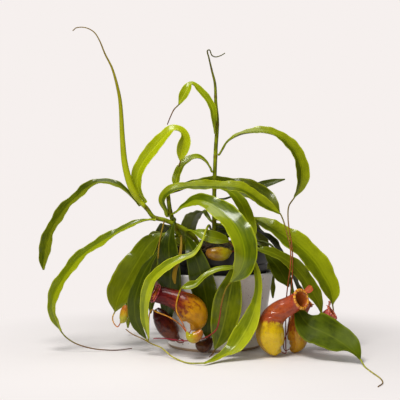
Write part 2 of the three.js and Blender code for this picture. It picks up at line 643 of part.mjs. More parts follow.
leaf('leaf_hanging_middle', 'dark', 'climbing_stem', -1, { fold: 22, wave: 1.1 }, [
  [4, 172, 22, 1.5, 0], [19, 152, 50, 1.5, 0], [29, 130, 72, 1.5, 20], [29, 112, 80, 1.8, 60],
  [25, 94, 84, 6.5, 78], [22, 78, 86, 13, 80], [18, 60, 87, 18, 82], [14, 38, 88, 18.5, 82],
  [8, 14, 89, 13, 80], [0, -6, 90, 1.2, 75],
], [[-3, -12, 96], [-7, -16, 104]]);

leaf('leaf_small_front', 'leaf', 'climbing_stem', -1, { fold: 24, wave: 0.4, feeds: 'pitcher_young_left' }, [
  [9, 166, 22, 1.5, 0], [26, 147, 47, 1.5, 0], [36, 129, 70, 1.5, 20], [37, 114, 79, 1.6, 50],
  [32, 103, 88, 1.8, 50], [20, 100, 93, 3.2, 50], [2, 97, 95, 4, 45], [-13, 89, 97, 4, 45],
  [-24, 79, 99, 4.6, 55], [-34, 76, 100, 5.5, 60], [-43, 74, 100, 1.2, 60],
], [[-47, 66, 101], [-50, 54, 104], [-50, 44, 107], [-46, 35, 108], [-42, 28, 106]]);

leaf('leaf_bright_left', 'bright', 'climbing_stem', -1, { fold: 20, wave: 1.0 }, [
  [-5, 150, 22, 1.5, 0], [-8, 155, 50, 1.6, 10], [-12, 148, 66, 1.8, 20], [-18, 132, 80, 2.4, 36],
  [-28, 118, 88, 4, 42],
  [-46, 110, 92, 6, 46], [-66, 99, 93, 7.5, 50], [-81, 84, 92, 8, 56], [-88, 68, 90, 7.5, 62],
  [-91, 51, 88, 6.5, 66], [-90, 30, 86, 5, 66], [-86, 8, 85, 1, 60],
]);

leaf('leaf_big_left', 'leaf', 'leaning_stem', -1, { fold: 10, wave: 1.8, feeds: 'pitcher_far_left' }, [
  [-62, 146, 14, 1.8, 20], [-74, 140, 16, 7, 50], [-87, 128, 18, 13.5, 60], [-99, 110, 21, 17.5, 62],
  [-109, 93, 24, 20, 64], [-117, 78, 27, 21.5, 64], [-124, 64, 29, 18.5, 62], [-128, 52, 30, 10, 60],
  [-130, 43, 30, 1.2, 60],
], [[-133, 36, 34], [-132, 29, 40]]);

leaf('leaf_shaded_left', 'dark', 'leaning_stem', -1, { fold: 12, wave: 1.3, feeds: 'pitcher_front_left' }, [
  [-56, 138, 28, 1.5, 10], [-68, 130, 46, 1.6, 10], [-79, 114, 56, 3.5, 45], [-90, 97, 58, 7, 58],
  [-98, 78, 59, 9, 62], [-104, 56, 59, 9.5, 66], [-103, 34, 59, 9, 66], [-96, 18, 59, 5, 60],
  [-90, 8, 59, 1, 60],
], [[-87, 5, 64], [-86, 14, 70], [-86, 32, 73], [-83, 45, 78], [-75, 42, 86], [-58, 35, 92], [-44, 25, 94]]);

leaf('leaf_deep_left', 'dark', 'leaning_stem', -1, { fold: 12, wave: 1.0, feeds: 'pitcher_in_shade' }, [
  [-52, 163, 34, 1.5, 10], [-54, 156, 50, 2.5, 40], [-58, 144, 61, 6.5, 62], [-60, 128, 66, 12, 64],
  [-59, 110, 67, 17, 60], [-58, 90, 64, 18.5, 56], [-58, 71, 58.5, 18, 52], [-60, 53, 51, 14, 48],
  [-61, 37, 45, 7.4, 44], [-59, 23, 42, 1.2, 40],
], [[-55, 14, 43], [-49, 4, 47], [-42, 3, 56]]);

leaf('leaf_olive_left', 'dark', 'side_stem', -1, { fold: 12, wave: 0.8, feeds: 'pitcher_dark_middle' }, [
  [-38, 143, 47, 1.2, 10], [-38, 140, 56, 2.2, 40], [-34, 133, 69, 5.5, 70], [-27, 118, 80, 10.5, 78],
  [-20, 98, 81, 14.5, 78], [-15, 78, 77, 16, 76], [-11, 58, 71.5, 15.5, 74], [-9, 40, 69, 13.5, 76],
  [-9, 22, 67.5, 9.5, 78], [-10, 7, 64, 1.2, 78],
], [[-15, 3, 63], [-23, 2, 65], [-30, 4, 71]]);

leaf('leaf_level_middle', 'leaf', 'side_stem', 1, { fold: 18, wave: 0.8, feeds: 'pitcher_at_rim' }, [
  [-30, 148, 47, 1.5, 20], [-24, 146, 54, 5.5, 40], [-12, 141, 60, 9, 58], [1, 138, 62, 9, 58],
  [11, 136, 63, 6.5, 55], [18, 134, 64, 1.2, 50],
], [[22, 130, 70], [28, 125, 81]]);

leaf('leaf_withered', 'withered', 'leaning_stem', -1, { fold: 20, wave: 0.3 }, [
  [-44, 141, 30, 1.3, 10], [-44, 139, 52, 1.4, 20], [-44, 131, 75, 1.6, 50], [-46, 113, 87, 1.8, 70],
  [-51, 99, 89, 2.4, 75], [-53, 88, 89, 2.6, 75], [-52, 79, 88, 0.9, 70],
]);

leaf('tendril_withered', 'withered', 'side_stem', -1, { rolled: true }, [
  [-67, 156, 46, 0.9, 0], [-70, 144, 58, 0.9, 0], [-73, 128, 69, 0.8, 0], [-74, 112, 75, 0.7, 0],
]);

// Leaves of the back: rows are [out, up, aside, half width, lean] in an upright plane turned round the stem
const backLeaf = (number, from, turn, start, scale, drop, finish) => {
  LEAVES.push({
    name: `leaf_back_${number}`,
    finish,
    from,
    bend: 1,
    turn,
    fold: 16,
    wave: 1.8,
    length: 44,
    tendril: [],
    rows: [[14, 0, 0, 1.8, 0], [34, 11, 0, 5, 0], [58, 12, 0, 9, 4], [84, -2, 0, 12, 8],
      [108, -30, 0, 13, 12], [126, -62, 0, 11, 14], [136, -90, 0, 6, 14], [140, -108, 0, 1.2, 14]]
      .map(([out, up, aside, half, lean]) => (
        [out * scale, start + up + drop * (out / 140), aside, half, lean])),
  });
};
backLeaf(1, 'climbing_stem', 24, 144, 0.98, -14, 'dark');
backLeaf(2, 'climbing_stem', 54, 157, 1.04, -2, 'leaf');
backLeaf(3, 'climbing_stem', 84, 148, 0.96, -16, 'dark');
backLeaf(4, 'climbing_stem', 112, 162, 1.06, -10, 'leaf');
backLeaf(5, 'leaning_stem', 112, 144, 0.84, -10, 'dark');
backLeaf(6, 'leaning_stem', 138, 136, 0.7, -16, 'leaf');

// A leaf's own rows in place, from its seat on the stem to its tip
function leafRows({ from, rows, turn }) {
  const placed = rows.map((row) => {
    if (turn === undefined) return [...seen(row).toArray(), row[3], row[4]];
    const [out, up, aside, half, lean] = row;
    const place = new THREE.Vector3(out, aside, up).applyAxisAngle(UP, THREE.MathUtils.degToRad(turn));
    if (from === 'leaning_stem') place.x -= 46;
    return [...place.toArray(), half, lean];
  });
  const { point, out } = seat(from, vector(placed[0]), vector(placed[1]));
  const clear = point.clone().addScaledVector(out, PETIOLE.reach);
  const lean = placed[0][4];
  const half = Math.min(PETIOLE.half, placed[0][3]);
  return [[...point.toArray(), half, lean], [...clear.toArray(), half, lean], ...placed];
}

function buildLeaf(shape, number) {
  const { rolled, tendril, feeds, turn = 0 } = shape;
  const rows = leafRows(shape);
  if (rolled) return tube(rows, STEM.sides - 2, STEM.spacing);
  const view = FRONT.clone().applyAxisAngle(UP, THREE.MathUtils.degToRad(turn));
  const body = blade(rows, { ...shape, phase: 1.7 * number, view });
  if (!tendril.length) return body;
  const tip = vector(rows.at(-1));
  const back = tip.clone().sub(vector(rows.at(-2))).normalize().multiplyScalar(-TENDRIL.sink);
  const route = [tip.clone().add(back), tip, ...tendril.map((row) => seen(row))];
  if (feeds) {
    const line = pitcherRows(feeds);
    const base = vector(line[0]);
    const way = vector(line[1]).sub(base).normalize();
    route.push(base.clone().addScaledVector(way, -6), base.clone().addScaledVector(way, -GAP));
  }
  const reach = route.length - 1;
  const string = route.map((place, i) => {
    const radius = TENDRIL.start + ((TENDRIL.end - TENDRIL.start) * i) / reach;
    return [place.x, place.y, Math.max(place.z, radius + TENDRIL.above), radius];
  });
  return body.add(tube(string, TENDRIL.sides, TENDRIL.spacing));
}

// The plant in its pots
const plant = new THREE.Group();

function addPart(name, body, finish) {
  const mesh = new THREE.Mesh(toGeometry(body), material(FINISH[finish]));
  mesh.name = name;
  plant.add(mesh);
}

addPart('outer_pot', outerPot(), 'outer');
addPart('nursery_pot', nurseryPot(), 'nursery');
addPart('growing_medium', soil(Object.values(stems).map(({ hole }) => hole)), 'soil');
Object.entries(stems).forEach(([name, { body }]) => addPart(name, body, 'stem'));
Object.entries(PITCHERS).forEach(([name, { finish }]) => addPart(name, pitcher(name), finish));
LEAVES.forEach((shape, number) => addPart(shape.name, buildLeaf(shape, number), shape.finish));

export default plant;
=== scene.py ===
"""A potted tropical pitcher plant, dressed for the camera.

The rows below repeat those of the part's solids, and every surface is made from them with finer steps.
Lengths in the rows are millimetres. The finished meshes are in metres.
"""

import math

import bpy
import numpy as np
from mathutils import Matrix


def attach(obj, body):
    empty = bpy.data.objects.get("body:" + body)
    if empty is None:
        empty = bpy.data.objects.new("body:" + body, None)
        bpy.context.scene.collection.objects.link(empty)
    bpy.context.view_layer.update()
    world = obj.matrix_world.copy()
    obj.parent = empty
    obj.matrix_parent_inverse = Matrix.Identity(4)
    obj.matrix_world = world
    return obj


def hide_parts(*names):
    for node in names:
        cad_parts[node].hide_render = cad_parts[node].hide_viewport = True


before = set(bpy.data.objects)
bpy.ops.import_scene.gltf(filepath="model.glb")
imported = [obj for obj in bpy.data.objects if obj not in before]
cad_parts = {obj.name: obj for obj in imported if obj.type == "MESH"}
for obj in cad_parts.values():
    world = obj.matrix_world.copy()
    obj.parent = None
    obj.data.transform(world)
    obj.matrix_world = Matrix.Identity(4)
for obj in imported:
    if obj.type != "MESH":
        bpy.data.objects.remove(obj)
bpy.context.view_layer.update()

MM = 0.001
TURN = 2 * math.pi
SEED = 7
EYE = (-19.5, 1100.0, 188.0)
GAP = 0.35
FRONT = np.array([0.0, -1.0, 0.0])
UP = np.array([0.0, 0.0, 1.0])

OUTER_POT = {"height": 96, "rim": 75.5, "foot": 60, "wall": 4, "floor": 6, "lip": 2}
NURSERY_POT = {"height": 119, "rim": 75, "band": 17, "step": 2.5, "shoulder": 70.5, "foot": 53, "wall": 1.4}
TURNED = {"sides": 144, "eased": 0.7, "rough": 0.12, "steps": (2.5, 3)}
SOIL = {"below": 9, "mound": 25, "clearance": 0.5, "slack": 0.4, "rings": 6, "lumps": 1.6, "sides": 160,
        "steps": 60}
CHIPS = {"count": 420, "reach": 0.95, "sizes": ((2.0, 4.6), (1.2, 2.6), (0.5, 1.1)), "lifted": 0.3,
         "spin": 6.28, "tilt": (-0.4, 0.4), "rough": 0.28, "rows": 6, "sides": 8, "cap": 0.92}
STEM = {"sides": 28, "step": 1.4, "ring": 0.07, "samples": 200}
BLADE = {"edge": 0.24, "rib": 0.8, "step": 1.7, "columns": 17, "ripple": 0.45, "groove": 0.3, "keel": 0.45,
         "phase": 1.7}
ROLLED = {"sides": 20, "step": 1.6, "edge": 0.16}
PETIOLE = {"half": 3.2, "reach": 1.8, "back": 7}
TENDRIL = {"sides": 10, "step": 2.0, "sink": 2.5, "start": 0.95, "end": 0.62, "above": 0.3, "last": 6}
PITCHER = {"sides": 64, "wall": 1.3, "step": 1.5, "fine step": 0.7, "wings": 0.34, "wing": 1.1,
           "swell": 0.018, "low": 0.15, "slant": 0.75}
COLLAR = {"sides": 240, "ribs": 60, "around": 18, "out": 1.75, "rib": 0.07, "bend": 0.28, "up": 0.55,
          "rise": 4.4}
# The lid's outline: share of its length, share of its half width and how far it bends up there
LID = [[-0.04, 0.35, 0], [0.3, 0.85, 0.04], [0.6, 1, 0.02], [0.85, 0.8, -0.03], [1, 0.2, -0.1]]
LID_SHAPE = {"fold": -14, "out": 0.7, "up": 0.75, "ripple": 0.25}
# The spur behind the lid: out, up and radius
SPUR = [[-0.6, -0.4, 0.9], [1.6, 0.6, 0.75], [4, 0.2, 0.45]]
SPUR_SHAPE = {"sides": 10, "step": 0.4}

# Stems: rows are [across, up, towards, radius] from the growing medium upwards
STEM_ROUTES = {
    "climbing_stem": [
        [-1, 112, 0, 2.9], [-1, 136, 0, 2.9], [-1, 165, 0, 2.8], [-1, 194, 0, 2.7], [0, 231, 0, 2.6],
        [1, 256, 0, 2.6], [3, 290, 0, 2.4], [1, 314, 0, 2.1], [0, 339, 0, 1.7], [-4, 356, 0, 1.3],
        [-8, 373, 0, 1.0], [-10, 382, 0, 0.9], [-7, 383, 0, 0.8], [-4, 376, 0, 0.75], [1, 374, 0, 0.7],
        [8, 376, 0, 0.65], [13, 379, 0, 0.6],
    ],
    "leaning_stem": [
        [-36, 106, 12, 3.2], [-42, 133, 16, 3.2], [-51, 152, 20, 3.1], [-57, 168, 22, 2.9],
        [-60, 184, 24, 2.7], [-61, 197, 24, 2.4],
    ],
    "side_stem": [
        [-17, 112, 34, 3.0], [-24, 135, 36, 3.0], [-35, 147, 37, 2.9], [-56, 158, 38, 2.8],
        [-66, 162, 39, 2.8], [-80, 166, 40, 2.7], [-88, 176, 40, 2.7], [-95, 184, 40, 2.9],
    ],
}
# Where a stem has swollen rings, as shares of its length
STEM_SEATS = {
    "climbing_stem": (0.16, 0.3, 0.44, 0.58, 0.7, 0.82),
    "leaning_stem": (0.25, 0.5, 0.75, 0.92),
    "side_stem": (0.25, 0.5, 0.75, 0.92),
}

# Pitchers: rows are [across, up, towards, radius] from the tendril's end to the mouth
PITCHERS = {}


def pitcher(name, finish, rows, mouth=None, lid=None):
    """Adds a pitcher. An open one has the way that its mouth faces, and a lid."""
    PITCHERS[name] = {"finish": finish, "rows": rows, "mouth": mouth, "lid": lid}


pitcher("pitcher_front_right", "gold", [
    [86, -9, 84, 1.3], [80, -6, 84, 10], [75, 4, 84, 15], [72, 15, 84, 16.5], [72, 27, 84, 15.3],
    [77, 37, 84, 13.8], [86, 45, 85, 12.3], [96, 50, 87, 11.3], [105, 55, 89, 11], [112, 59, 93, 11.3],
], mouth=[0.62, -0.72, 0.3], lid=dict(hinge=[0.65, 0.3, 0.7], length=12, half=4.6))
pitcher("pitcher_behind_right", "gold", [
    [97, -6, 60, 1.3], [101, -5, 60, 6.5], [107, 3, 60, 11], [107, 14, 60, 12.5], [107, 25, 60, 12],
    [109, 37, 59, 9.5], [113, 46, 57, 8.6], [117, 55, 55, 8.8],
], mouth=[0.5, 0.4, 0.75], lid=dict(hinge=[0.6, 0.8, 0.2], length=13, half=6))
pitcher("pitcher_far_right", "maroon", [
    [130, 12, 46, 1.3], [133, 10, 46, 5.5], [138, 14, 46, 9], [140, 21, 46, 9.8], [141, 29, 46, 8.5],
    [145, 36, 46, 7.6], [152, 41, 46, 8],
], mouth=[0.75, -0.25, 0.6], lid=dict(hinge=[-0.3, 0.2, 0.9], length=9, half=4.2))
pitcher("pitcher_front_left", "gold", [
    [-31, 19, 90, 1.3], [-26, 25, 90, 9], [-25, 34, 90, 14.5], [-29, 43, 90, 17], [-37, 51, 90, 15.5],
    [-46, 57, 89, 12.5], [-56, 61, 87, 10.5], [-66, 64, 85, 10], [-77, 66, 82, 10.3],
], mouth=[-0.85, -0.25, 0.45], lid=dict(hinge=[0.2, 0.5, 0.8], length=17, half=7.5))
pitcher("pitcher_young_left", "gold", [
    [-37, 17, 104, 1], [-34, 11, 104, 4], [-29, 9, 104, 6.5], [-24, 11, 104, 6.3], [-20, 15, 104, 4.6],
    [-18, 19, 104, 2],
])
pitcher("pitcher_dark_middle", "maroon", [
    [-25, 4, 76, 1.2], [-20, 0, 76, 6.5], [-14, -2, 76, 8], [-9, 2, 76, 6.5], [-5, 9, 76, 3],
])
pitcher("pitcher_in_shade", "maroon", [
    [-46, 8, 60, 1.2], [-52, 11, 60, 8], [-60, 20, 59, 12], [-67, 30, 58, 11.5], [-73, 40, 57, 8.5],
    [-77, 46, 57, 4],
])
pitcher("pitcher_far_left", "gold", [
    [-123, 28, 46, 1], [-120, 32, 46, 4.6], [-118, 39, 46, 5.6], [-117, 46, 46, 4.6], [-116, 51, 46, 2],
])
pitcher("pitcher_at_rim", "gold", [
    [22, 121, 85, 1.2], [18, 120, 85, 5], [11, 118, 86, 8], [3, 118, 87, 8.3], [-5, 119, 87, 7],
    [-11, 121, 86, 3.5],
])

# Leaves: rows are [across, up, towards, half width, lean]; the last list is the tendril's way
LEAVES = []


def leaf(name, finish, stem, bend, options, rows, tendril=()):
    """Adds a leaf. The options are its fold, the height and length of its waves, whether it is rolled up,
    the pitcher that it feeds, and its turn round the stem where it isn't drawn from the eye."""
    shape = dict(fold=18, wave=1.4, length=42, rolled=False, feeds=None, turn=None)
    shape.update(options, name=name, finish=finish, stem=stem, bend=bend, rows=rows, tendril=list(tendril))
    LEAVES.append(shape)


leaf("leaf_top_left", "bright", "climbing_stem", -1, dict(fold=25, wave=0.5), [
    [-1, 282, 7, 1.6, 50], [-2, 294, 8, 4.4, 60], [-4, 307, 8, 5.6, 62], [-11, 320, 8, 5.6, 58],
    [-21, 331, 8, 5.8, 50], [-30, 339, 9, 5, 34], [-35, 333, 10, 7, 62], [-41, 323, 11, 6.4, 75],
    [-47, 312, 11, 1, 70],
], [
    [-53, 306, 11], [-58, 296, 11], [-62, 286, 11],
])
leaf("leaf_top_right", "leaf", "climbing_stem", 1, dict(fold=22, wave=0.9, feeds="pitcher_behind_right"), [
    [9, 253, 1, 1.4, 10], [16, 264, 2, 2.4, 20], [32, 273, 4, 5.5, 22], [47, 276, 6, 8.5, 26],
    [64, 276, 8, 10, 30], [81, 271, 10, 11, 36], [97, 258, 12, 11.5, 44], [108, 241, 13, 12, 52],
    [112, 223, 14, 11.5, 56], [110, 207, 14, 8.5, 55], [103, 191, 14, 1, 50],
], [
    [96, 180, 16], [95, 164, 22], [97, 146, 34], [100, 128, 50], [101, 104, 66], [100, 84, 72],
    [98, 64, 73], [97, 48, 71], [95, 20, 68], [89, 2, 63],
])
leaf("leaf_top_back", "bright", "climbing_stem", -1, dict(fold=25, wave=0.6), [
    [-6, 230, 4, 1.8, 20], [-12, 238, 5, 3.4, 25], [-21, 243, 6, 5.2, 30], [-32, 241, 9, 6.6, 38],
    [-42, 232, 13, 7.2, 44], [-48, 220, 16, 7, 50], [-50, 212, 18, 5.6, 60], [-51, 203, 19, 1, 60],
])
leaf("leaf_rolled_tall", "young", "side_stem", -1, dict(rolled=True), [
    [-97, 186, 45, 2.8, 0], [-103, 194, 48, 3.8, 0], [-110, 208, 49, 4.2, 0], [-117, 235, 49, 3.8, 0],
    [-120, 265, 49, 3.2, 0], [-123, 314, 49, 2.3, 0], [-127, 336, 49, 1.8, 0], [-134, 360, 49, 1.3, 0],
    [-143, 378, 49, 1.0, 0], [-150, 395, 49, 0.8, 0], [-157, 406, 49, 0.7, 0], [-168, 412, 49, 0.65, 0],
    [-180, 412, 49, 0.62, 0], [-185, 408, 49, 0.6, 0],
])
leaf("leaf_folded_tip", "bright", "side_stem", 1, dict(fold=26, wave=0.7), [
    [-94, 192, 38, 3.2, 55], [-100, 205, 37, 6.6, 66], [-100, 222, 36, 8.4, 72], [-91, 240, 36, 9.2, 72],
    [-79, 255, 36, 9.6, 68], [-66, 269, 36, 9.4, 58], [-55, 279, 36, 8, 40], [-46, 278, 36, 7, 28],
    [-41, 270, 36, 8.5, 50], [-42, 258, 36, 9.5, 72], [-44, 248, 36, 7, 75], [-45, 239, 36, 1, 75],
], [
    [-46, 235, 36], [-47, 231, 36],
])
leaf("leaf_arch_far_left", "leaf", "side_stem", -1, dict(fold=20, wave=1.6), [
    [-103, 187, 38, 2.4, 20], [-118, 201, 37, 5, 30], [-134, 210, 36, 6, 34], [-150, 211, 35, 7, 36],
    [-165, 204, 34, 8, 40], [-181, 190, 33, 9, 45], [-196, 174, 32, 10, 46], [-209, 154, 31, 10.5, 48],
    [-217, 132, 30, 11, 50], [-221, 113, 30, 10, 55], [-223, 97, 31, 1.2, 60],
])
leaf("leaf_long_left", "leaf", "side_stem", -1, dict(fold=24, wave=1.5), [
    [-84, 163, 46, 1.8, 20], [-96, 160, 48, 4, 30], [-117, 151, 50, 6.5, 36], [-142, 136, 52, 8, 42],
    [-165, 121, 53, 9, 46], [-181, 106, 54, 9.5, 50], [-195, 87, 55, 10, 52], [-208, 64, 56, 9.5, 54],
    [-210, 45, 56, 8, 56], [-205, 29, 56, 5, 50], [-200, 17, 56, 1, 40],
], [
    [-193, 9, 55], [-180, 1, 52], [-160, -5, 50], [-141, -7, 47], [-125, -7, 46], [-108, -5, 44],
])
leaf("leaf_across_front", "bright", "leaning_stem", 1,
     dict(fold=16, wave=1.2, feeds="pitcher_front_right"), [
    [-64, 175, 25, 3, 60], [-69, 187, 29, 4.8, 66], [-64, 197, 33, 6, 58], [-52, 203, 34, 6.8, 46],
    [-30, 206, 31, 7.8, 42], [-2, 206, 28, 8.5, 44], [30, 204, 28, 9, 44], [47, 196, 28, 9, 48],
    [64, 183, 28, 8, 52], [76, 175, 28, 5, 52], [85, 170, 29, 1, 50],
], [
    [90, 158, 36], [94, 143, 50], [98, 126, 66], [98, 102, 78], [95, 80, 77], [93, 62, 71], [92, 48, 69],
    [92, 22, 76], [92, -3, 83],
])
leaf("leaf_across_back", "dark", "leaning_stem", 1, dict(fold=14, wave=1.6), [
    [-46, 201, 8, 3, 30], [-36, 206, 0, 6, 40], [-20, 209, -10, 9, 46], [1, 209, -20, 11, 50],
    [22, 206, -22, 13, 52], [42, 201, -20, 15.5, 54], [61, 192, -16, 16, 56], [75, 181, -10, 9, 56],
    [84, 172, -6, 1, 50],
])
leaf("leaf_glimpse_right", "dark", "climbing_stem", 1, dict(fold=15, wave=0.6), [
    [14, 190, -12, 1.5, 20], [33, 197, -48, 4, 40], [48, 203, -52, 6, 55], [64, 208, -54, 6, 60],
    [78, 212, -55, 4, 60], [91, 215, -55, 1, 50],
])
leaf("leaf_great_front", "leaf", "leaning_stem", 1, dict(fold=18, wave=1.4), [
    [-50, 173, 36, 2, 30], [-42, 179, 42, 4.5, 42], [-26, 187, 52, 8, 55], [-9, 184, 66, 11, 60],
    [9, 172, 82, 14.5, 62], [25, 156, 95, 16, 64], [35, 136, 104, 16.5, 66], [38, 116, 108, 16, 66],
    [33, 97, 108, 12, 66], [20, 81, 107, 1.2, 60],
], [
    [14, 72, 106], [9, 55, 104], [6, 35, 103], [2, 20, 103], [-7, 12, 103], [-19, 7, 100], [-41, 5, 92],
    [-66, 8, 84], [-80, 8, 80],
])
leaf("leaf_second_front", "leaf", "climbing_stem", 1, dict(fold=14, wave=0.9), [
    [8, 203, 4, 2.5, 30], [22, 197, 8, 6.5, 52], [35, 181, 13, 9, 62], [43, 159, 18, 10, 68],
    [47, 146, 22, 7, 70], [49, 135, 25, 1, 70],
])
leaf("leaf_right_outer", "leaf", "climbing_stem", 1, dict(fold=15, wave=1.8, feeds="pitcher_far_right"), [
    [22, 166, 6, 1.8, 10], [54, 162, 2, 7, 35], [72, 153, 11, 12, 44], [91, 141, 17, 15.5, 50],
    [110, 127, 21, 17, 54], [127, 110, 25, 17.5, 56], [140, 90, 28, 17, 58], [150, 71, 31, 13.5, 58],
    [153, 52, 33, 1.2, 55],
], [
    [154, 36, 34], [147, 22, 31], [132, 14, 33],
])
leaf("leaf_right_inner", "leaf", "climbing_stem", 1, dict(fold=16, wave=1.4), [
    [14, 154, 17, 1.5, 10], [38, 140, 38, 1.5, 10], [51, 129, 60, 2, 20], [58, 124, 68, 4, 40],
    [74, 119, 68, 7, 48], [96, 107, 62, 9.5, 52], [110, 93, 58, 11.5, 54], [125, 71, 56, 11, 56],
    [134, 54, 56, 7, 56], [139, 40, 56, 1, 55],
])
leaf("leaf_right_under", "dark", "climbing_stem", 1, dict(fold=10, wave=0.8), [
    [17, 148, 11, 1.5, 10], [44, 135, 30, 1.5, 10], [60, 127, 49, 2, 20], [70, 113, 56, 5, 50],
    [80, 102, 60, 11.5, 62], [88, 90, 61, 11.5, 66], [96, 75, 62, 1, 60],
])
leaf("leaf_floor_right", "dark", "climbing_stem", 1, dict(fold=12, wave=2.0), [
    [17, 141, 4, 1.5, 10], [48, 136, 16, 1.5, 10], [72, 130, 28, 1.6, 20], [88, 108, 38, 2.6, 40],
    [98, 82, 54, 3, 50], [103, 60, 69, 3, 60], [110, 40, 77, 8.5, 66], [122, 25, 88, 18, 66],
    [138, 17, 95, 21.5, 62], [157, 7, 103, 20.5, 56], [175, -6, 116, 15, 45], [189, -19, 134, 1.2, 20],
], [
    [195, -29, 152], [204, -36, 182], [215, -44, 214], [218, -50, 236], [212, -55, 252],
])
leaf("leaf_floor_front", "bright", "climbing_stem", -1, dict(fold=20, wave=1.4), [
    [12, 160, 20, 1.5, 0], [32, 143, 44, 1.5, 0], [43, 128, 67, 1.6, 20], [49, 113, 82, 2.4, 50],
    [55, 96, 88, 4, 60], [57, 76, 92, 5, 66], [54, 54, 95, 6.5, 68], [46, 30, 98, 11.5, 68],
    [36, 11, 102, 13, 62], [22, -7, 108, 10, 48], [4, -18, 121, 5, 20], [-14, -24, 141, 1.2, 10],
], [
    [-34, -24, 131], [-47, -20, 112], [-58, -14, 96], [-70, -4, 84], [-82, 1, 76], [-95, 8, 70],
    [-108, 14, 66], [-116, 20, 64],
])
leaf("leaf_hanging_middle", "dark", "climbing_stem", -1, dict(fold=22, wave=1.1), [
    [4, 172, 22, 1.5, 0], [19, 152, 50, 1.5, 0], [29, 130, 72, 1.5, 20], [29, 112, 80, 1.8, 60],
    [25, 94, 84, 6.5, 78], [22, 78, 86, 13, 80], [18, 60, 87, 18, 82], [14, 38, 88, 18.5, 82],
    [8, 14, 89, 13, 80], [0, -6, 90, 1.2, 75],
], [
    [-3, -12, 96], [-7, -16, 104],
])
leaf("leaf_small_front", "leaf", "climbing_stem", -1, dict(fold=24, wave=0.4, feeds="pitcher_young_left"), [
    [9, 166, 22, 1.5, 0], [26, 147, 47, 1.5, 0], [36, 129, 70, 1.5, 20], [37, 114, 79, 1.6, 50],
    [32, 103, 88, 1.8, 50], [20, 100, 93, 3.2, 50], [2, 97, 95, 4, 45], [-13, 89, 97, 4, 45],
    [-24, 79, 99, 4.6, 55], [-34, 76, 100, 5.5, 60], [-43, 74, 100, 1.2, 60],
], [
    [-47, 66, 101], [-50, 54, 104], [-50, 44, 107], [-46, 35, 108], [-42, 28, 106],
])
leaf("leaf_bright_left", "bright", "climbing_stem", -1, dict(fold=20, wave=1.0), [
    [-5, 150, 22, 1.5, 0], [-8, 155, 50, 1.6, 10], [-12, 148, 66, 1.8, 20], [-18, 132, 80, 2.4, 36],
    [-28, 118, 88, 4, 42], [-46, 110, 92, 6, 46], [-66, 99, 93, 7.5, 50], [-81, 84, 92, 8, 56],
    [-88, 68, 90, 7.5, 62], [-91, 51, 88, 6.5, 66], [-90, 30, 86, 5, 66], [-86, 8, 85, 1, 60],
])
leaf("leaf_big_left", "leaf", "leaning_stem", -1, dict(fold=10, wave=1.8, feeds="pitcher_far_left"), [
    [-62, 146, 14, 1.8, 20], [-74, 140, 16, 7, 50], [-87, 128, 18, 13.5, 60], [-99, 110, 21, 17.5, 62],
    [-109, 93, 24, 20, 64], [-117, 78, 27, 21.5, 64], [-124, 64, 29, 18.5, 62], [-128, 52, 30, 10, 60],
    [-130, 43, 30, 1.2, 60],
], [
    [-133, 36, 34], [-132, 29, 40],
])
leaf("leaf_shaded_left", "dark", "leaning_stem", -1, dict(fold=12, wave=1.3, feeds="pitcher_front_left"), [
    [-56, 138, 28, 1.5, 10], [-68, 130, 46, 1.6, 10], [-79, 114, 56, 3.5, 45], [-90, 97, 58, 7, 58],
    [-98, 78, 59, 9, 62], [-104, 56, 59, 9.5, 66], [-103, 34, 59, 9, 66], [-96, 18, 59, 5, 60],
    [-90, 8, 59, 1, 60],
], [
    [-87, 5, 64], [-86, 14, 70], [-86, 32, 73], [-83, 45, 78], [-75, 42, 86], [-58, 35, 92], [-44, 25, 94],
])
leaf("leaf_deep_left", "dark", "leaning_stem", -1, dict(fold=12, wave=1.0, feeds="pitcher_in_shade"), [
    [-52, 163, 34, 1.5, 10], [-54, 156, 50, 2.5, 40], [-58, 144, 61, 6.5, 62], [-60, 128, 66, 12, 64],
    [-59, 110, 67, 17, 60], [-58, 90, 64, 18.5, 56], [-58, 71, 58.5, 18, 52], [-60, 53, 51, 14, 48],
    [-61, 37, 45, 7.4, 44], [-59, 23, 42, 1.2, 40],
], [
    [-55, 14, 43], [-49, 4, 47], [-42, 3, 56],
])
leaf("leaf_olive_left", "dark", "side_stem", -1, dict(fold=12, wave=0.8, feeds="pitcher_dark_middle"), [
    [-38, 143, 47, 1.2, 10], [-38, 140, 56, 2.2, 40], [-34, 133, 69, 5.5, 70], [-27, 118, 80, 10.5, 78],
    [-20, 98, 81, 14.5, 78], [-15, 78, 77, 16, 76], [-11, 58, 71.5, 15.5, 74], [-9, 40, 69, 13.5, 76],
    [-9, 22, 67.5, 9.5, 78], [-10, 7, 64, 1.2, 78],
], [
    [-15, 3, 63], [-23, 2, 65], [-30, 4, 71],
])
leaf("leaf_level_middle", "leaf", "side_stem", 1, dict(fold=18, wave=0.8, feeds="pitcher_at_rim"), [
    [-30, 148, 47, 1.5, 20], [-24, 146, 54, 5.5, 40], [-12, 141, 60, 9, 58], [1, 138, 62, 9, 58],
    [11, 136, 63, 6.5, 55], [18, 134, 64, 1.2, 50],
], [
    [22, 130, 70], [28, 125, 81],
])
leaf("leaf_withered", "withered", "leaning_stem", -1, dict(fold=20, wave=0.3), [
    [-44, 141, 30, 1.3, 10], [-44, 139, 52, 1.4, 20], [-44, 131, 75, 1.6, 50], [-46, 113, 87, 1.8, 70],
    [-51, 99, 89, 2.4, 75], [-53, 88, 89, 2.6, 75], [-52, 79, 88, 0.9, 70],
])
leaf("tendril_withered", "withered", "side_stem", -1, dict(rolled=True), [
    [-67, 156, 46, 0.9, 0], [-70, 144, 58, 0.9, 0], [-73, 128, 69, 0.8, 0], [-74, 112, 75, 0.7, 0],
])

